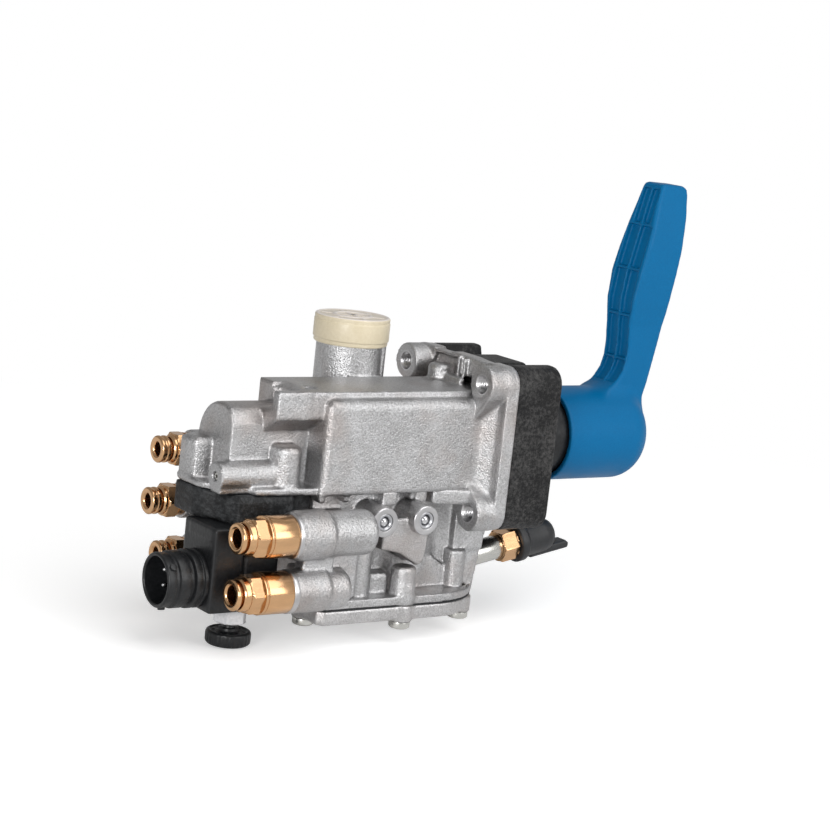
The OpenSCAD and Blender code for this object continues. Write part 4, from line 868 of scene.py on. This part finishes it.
def galleryPieces():
    rims, plugs, balls = [], [], []
    for x in galleries:
        at = (x, 0, galleryZ)
        rims.append(turnedPart([(-36.55, 4.0), (-36.55, 6.45), (-36.2, 6.8), (-35, 6.8), (-34, 6),
                                (-34, 4.0)], at, axisY, 96, None, 0.15))
        plugs.append(turnedPart([(-36.2, 3.88), (-36.3, 3.6), (-36.3, 3.05), (-35.6, 2.5), (-29.6, 2.4),
                                 (-29.6, 3.88)], at, axisY, 72, None, 0.15))
        arcPoints = [(-34.0 - 2.36 * math.cos(a), 2.36 * math.sin(a)) for a in np.linspace(0, math.pi, 17)]
        balls.append(turnedPart(arcPoints, at, axisY, 48, None, 0.01, False))
    makePiece("galleryRims", *gather(rims), "milled")
    makePiece("galleryPlugs", *gather(plugs), "grey_alloy", replaced=["gallery_plugs"])
    makePiece("galleryBalls", *gather(balls), "bright_steel", replaced=["gallery_balls"])


galleryPieces()


def makeCap():
    top, low, r = 52.2, 38.6, 17.8
    at = (*neckAt, 0)
    profile = [(low, 16.0), (low, r - 0.9), (low + 0.5, r - 0.5), (low + 2.0, r - 0.5), (low + 2.4, r),
               (top - 3.0, r), (top - 2.8, r - 0.25), (top - 2.2, r - 0.25), (top - 1.0, r - 0.15),
               (top - 0.35, r - 0.8), (top - 0.3, r - 1.4), (top - 0.7, r - 2.2), (top - 0.7, 9.6),
               (top - 0.2, 9.2), (top - 0.2, 8.0), (top - 0.7, 7.6), (top - 0.7, 0)]
    inside = [(49.3, 0), (49.3, 16.0)]
    parts = [turnedPart(inside + profile, at, axisZ, 144, None, 0.3, False)]
    # Raised bars on the cap's top
    for i in range(3):
        angle = math.radians(20 + 60 * i)
        c, s = math.cos(angle), math.sin(angle)
        box = []
        for z in (top - 0.9, top - 0.5):
            for u, v in ((-14.6, -0.8), (14.6, -0.8), (14.6, 0.8), (-14.6, 0.8)):
                box.append((at[0] + u * c - v * s, at[1] + u * s + v * c, z))
        sides = [[3, 2, 1, 0], [4, 5, 6, 7], [0, 1, 5, 4], [1, 2, 6, 5], [2, 3, 7, 6], [3, 0, 4, 7]]
        parts.append((np.array(box), sides))
    return makePiece("capShell", *gather(parts), "cream_plastic", replaced=["filter_cap"])


makeCap()


def makeConnector():
    left, at = -129.8, (0, -10, -58.6)
    mouth = left - 19.5
    shell = [(left + 5.5, 0), (left + 5.4, 5.9), (left - 0.01, 5.9), (left - 0.01, 13.0),
             (left - 1.8, 13.0), (left - 2.0, 12.3), (left - 3.2, 12.3), (left - 3.4, 13.0),
             (left - 6.0, 13.0), (left - 6.3, 11.2), (left - 8.2, 11.2), (left - 8.6, 12.6),
             (left - 13.4, 12.6), (left - 13.8, 11.6), (left - 15.4, 11.6), (left - 15.6, 12.1),
             (mouth + 0.6, 12.1), (mouth, 11.5), (mouth, 10.7), (mouth + 0.6, 10.2), (left - 5.0, 10.2),
             (left - 5.0, 3.0), (left - 5.1, 0)]
    parts = [turnedPart(shell, at, axisX, 120, None, 0.22, False)]
    # Bayonet lugs around the mouth
    for degrees in (20, 140, 260):
        a = math.radians(degrees)
        turn = np.array([[0, math.cos(a), math.sin(a)], [1, 0, 0], [0, -math.sin(a), math.cos(a)]])
        profile = [(11.4, 0), (11.4, 1.7), (13.0, 1.6), (13.1, 0)]
        parts.append(turnedPart(profile, (mouth + 3, at[1], at[2]), turn, 24, None, 0.2, False))
    makePiece("connectorShell", *gather(parts), "black_plastic", replaced=["connector_shell"], sharp=32)
    pins = []
    for a in (45, 135, 225, 315):
        y, z = at[1] + 5 * math.cos(math.radians(a)), at[2] + 5 * math.sin(math.radians(a))
        pin = [(left + 3.4, 0), (left + 3.4, 1.15), (mouth + 6.6, 1.15), (mouth + 5.7, 0.7),
               (mouth + 5.5, 0)]
        pins.append(turnedPart(pin, (0, y, z), axisX, 32, None, 0.2, False))
    makePiece("connectorPins", *gather(pins), "bright_steel", replaced=["connector_pins"])


makeConnector()


def makeVent():
    x, y, top = -111.1, -12.0, -71.7
    nut = [(top - 0.02, 2.6), (top - 0.02, 6.6), (top - 0.5, 7.85), (top - 6.6, 7.85), (top - 7.1, 7.1),
           (top - 7.4, 6.4), (top - 7.4, 2.6)]
    p, f = turnedPart(nut, (x, y, 0), axisZ, 96, hexForm(13.5, top - 6.9, top - 0.1, 10), 0.2)
    makePiece("ventNut", p, f, "white_plastic", replaced=["vent_nut"])
    up = top - 7.4 - 3.5
    knob = [(top + 4.9, 0), (top + 4.9, 2.5), (up + 1.1, 2.5), (up + 1.1, 4.5), (up + 0.1, 4.5),
            (up - 0.5, 5.2), (up - 0.5, 8.0), (up, 8.6), (up - 0.4, 9.7), (up - 1.2, 10.15),
            (up - 5.2, 10.15), (up - 6.2, 9.4), (up - 6.6, 8.2), (up - 6.3, 4.0), (up - 6.3, 0)]

    def pips(along, radius, angle):
        wave = 0.16 * (np.cos(angle * 30) > 0.2)
        return np.where((along < up - 0.9) & (along > up - 5.6) & (radius > 9.8), radius - wave, radius)
    parts = [turnedPart(knob, (x, y, 0), axisZ, 180, pips, 0.35, False)]
    for i in range(8):
        a = math.radians(45 * i + 12)
        pip = [(up - 0.6, 0), (up - 0.6, 0.75), (up - 0.15, 0.65), (up - 0.1, 0)]
        parts.append(turnedPart(pip, (x + 6.7 * math.cos(a), y + 6.7 * math.sin(a), 0), axisZ, 16, None,
                                0.1, False))
    makePiece("ventKnob", *gather(parts), "black_plastic", "knob_group", ["vent_knob"])


makeVent()


def makeTest():
    tilt = math.radians(10.5)
    turn = np.array([[math.cos(tilt), 0, math.sin(tilt)], [0, 1, 0], [-math.sin(tilt), 0, math.cos(tilt)]])
    at = (14, -10, -57)
    stub = [(-4, 4.0), (4, 4.0), (4, 5.8), (21.9, 5.8), (21.9, 2.0), (-4, 2.0)]
    makePiece("testStub", *turnedPart(stub, at, turn, 72), "zinc_steel", replaced=["test_stub"])
    nut = [(22, 2.4), (22, 7.0), (22.6, 8.05), (30.4, 8.05), (31, 7.0), (31, 5.6), (42, 5.6), (42, 2.4)]
    makePiece("testCoupling", *turnedPart(nut, at, turn, 144, hexForm(14, 22.1, 30.9, 0), 0.2), "brass",
              replaced=["test_coupling"])
    cap = [(42.5, 0), (42.5, 6.05), (31.4, 6.05), (31.4, 9.3), (31.8, 9.8), (35.2, 9.8), (35.8, 9.2),
           (36.6, 8.4), (47.5, 8.4), (50.5, 7.9), (52.8, 6.6), (54.4, 4.4), (55.1, 2.2), (55.2, 0)]
    parts = [turnedPart(cap, at, turn, 96, None, 0.4, False)]
    tab = Field((38, -6, -11), (65, 6, -3), 0.7)
    tab.add(prism(1, [(40, -9), (40, -5), (62, -5.2), (63.5, -7), (62.5, -9)], -4, 4, 0.9), blend=0)
    p, f = tab.skin()
    parts.append((placed(p, at, turn), f.tolist()))
    makePiece("testCap", *gather(parts), "black_rubber", "test_cap_group", ["test_cap"])


makeTest()
print("turned pieces made")

# Stage: a floor that fades to white away from the object, pale surroundings that are dimmer overhead and
# to the camera's left, soft lamps and the camera
floorMesh = bpy.data.meshes.new("floor")
floorHalf, floorZ = 30, -0.0897
corners = [(x * floorHalf, y * floorHalf, floorZ) for x, y in ((-1, -1), (1, -1), (1, 1), (-1, 1))]
floorMesh.from_pydata(corners, [], [(0, 1, 2, 3)])
floor = bpy.data.objects.new("floor", floorMesh)
bpy.context.scene.collection.objects.link(floor)
white = (1.0, 1.0, 1.0, 1.0)
ground = Finish("floorPale", **{"Roughness": 0.9, "Specular IOR Level": 0.0, "Emission Color": white})
seen = ground.maths("MAXIMUM", ground.node("ShaderNodeLightPath", out="Is Camera Ray"),
                    ground.node("ShaderNodeLightPath", out="Is Transmission Ray"))
glossy = ground.node("ShaderNodeLightPath", out="Is Glossy Ray")
reach = ground.node("ShaderNodeVectorMath", {"operation": "LENGTH"}, {0: ground.place}, out="Value")
fade = ground.spread(reach, 0.18, 0.6) * seen
ground.feed(ground.shader, {
    "Base Color": ground.blend(fade, (0.93, 0.93, 0.93, 1.0), (0.0, 0.0, 0.0, 1.0)),
    "Emission Strength": seen * 0.42 + fade * 0.58 + glossy * 0.1})
floorMesh.materials.append(ground.material)

world = bpy.data.worlds.new("studio")
bpy.context.scene.world = world
world.use_nodes = True


class Sky(Finish):
    # The world's shader, which takes the same node methods.
    def __init__(self, tree):
        self.tree, self.shader = tree, tree.nodes["Background"]


air = Sky(world.node_tree)
path = air.node("ShaderNodeLightPath", out="Is Camera Ray")
sideX, sideY, sideZ = air.axes(air.node("ShaderNodeTexCoord", out="Generated"))
overhead = air.spread(sideZ, 0.05, 0.85, 1.0, 0.42)
behind = air.spread(sideY * 0.8 - sideX * 0.6, 0.25, 0.95, 1.0, 0.3)
level = overhead * behind * 0.45
mirrored = air.node("ShaderNodeLightPath", out="Is Glossy Ray") * 0.25
clear = air.maths("MAXIMUM", path, mirrored)
air.feed(air.shader, {"Color": (1.0, 1.0, 1.0, 1.0), "Strength": level + clear * (1 - level)})

lamps = {
    "key": ("AREA", (0.75, -1.9, 0.7), 1.1, 13.0), "left": ("AREA", (-1.67, -1.23, 0.4), 0.7, 19.0),
    "even": ("SUN", (0.3, -0.9, 1.6), math.radians(50), 1.2)}
for name, (kind, place, size, power) in lamps.items():
    light = bpy.data.lights.new(name, kind)
    light.energy = power
    if kind == "SUN":
        light.angle = size
    else:
        light.shape, light.size = "SQUARE", size
    lamp = bpy.data.objects.new(name, light)
    lamp.location = place
    lamp.rotation_euler = (-Vector(place)).to_track_quat("-Z", "Y").to_euler()
    bpy.context.scene.collection.objects.link(lamp)

# The camera's place in metres, and its right, down and forward directions
view = {"place": (-0.621464, -0.820793, 0.189130), "right": (0.81000, -0.57633, 0.10838),
        "down": (-0.01387, -0.20359, -0.97896), "forward": (0.58626, 0.79146, -0.17290), "lens": 97.07}
lens = bpy.data.cameras.new("camera")
lens.lens, lens.sensor_width, lens.clip_start, lens.clip_end = view["lens"], 36.0, 0.01, 50.0
camera = bpy.data.objects.new("camera", lens)
camera.matrix_world = Matrix((
    (view["right"][0], -view["down"][0], -view["forward"][0], view["place"][0]),
    (view["right"][1], -view["down"][1], -view["forward"][1], view["place"][1]),
    (view["right"][2], -view["down"][2], -view["forward"][2], view["place"][2]), (0, 0, 0, 1)))
bpy.context.scene.collection.objects.link(camera)
bpy.context.scene.camera = camera
bpy.context.scene.view_settings.view_transform = "Standard"
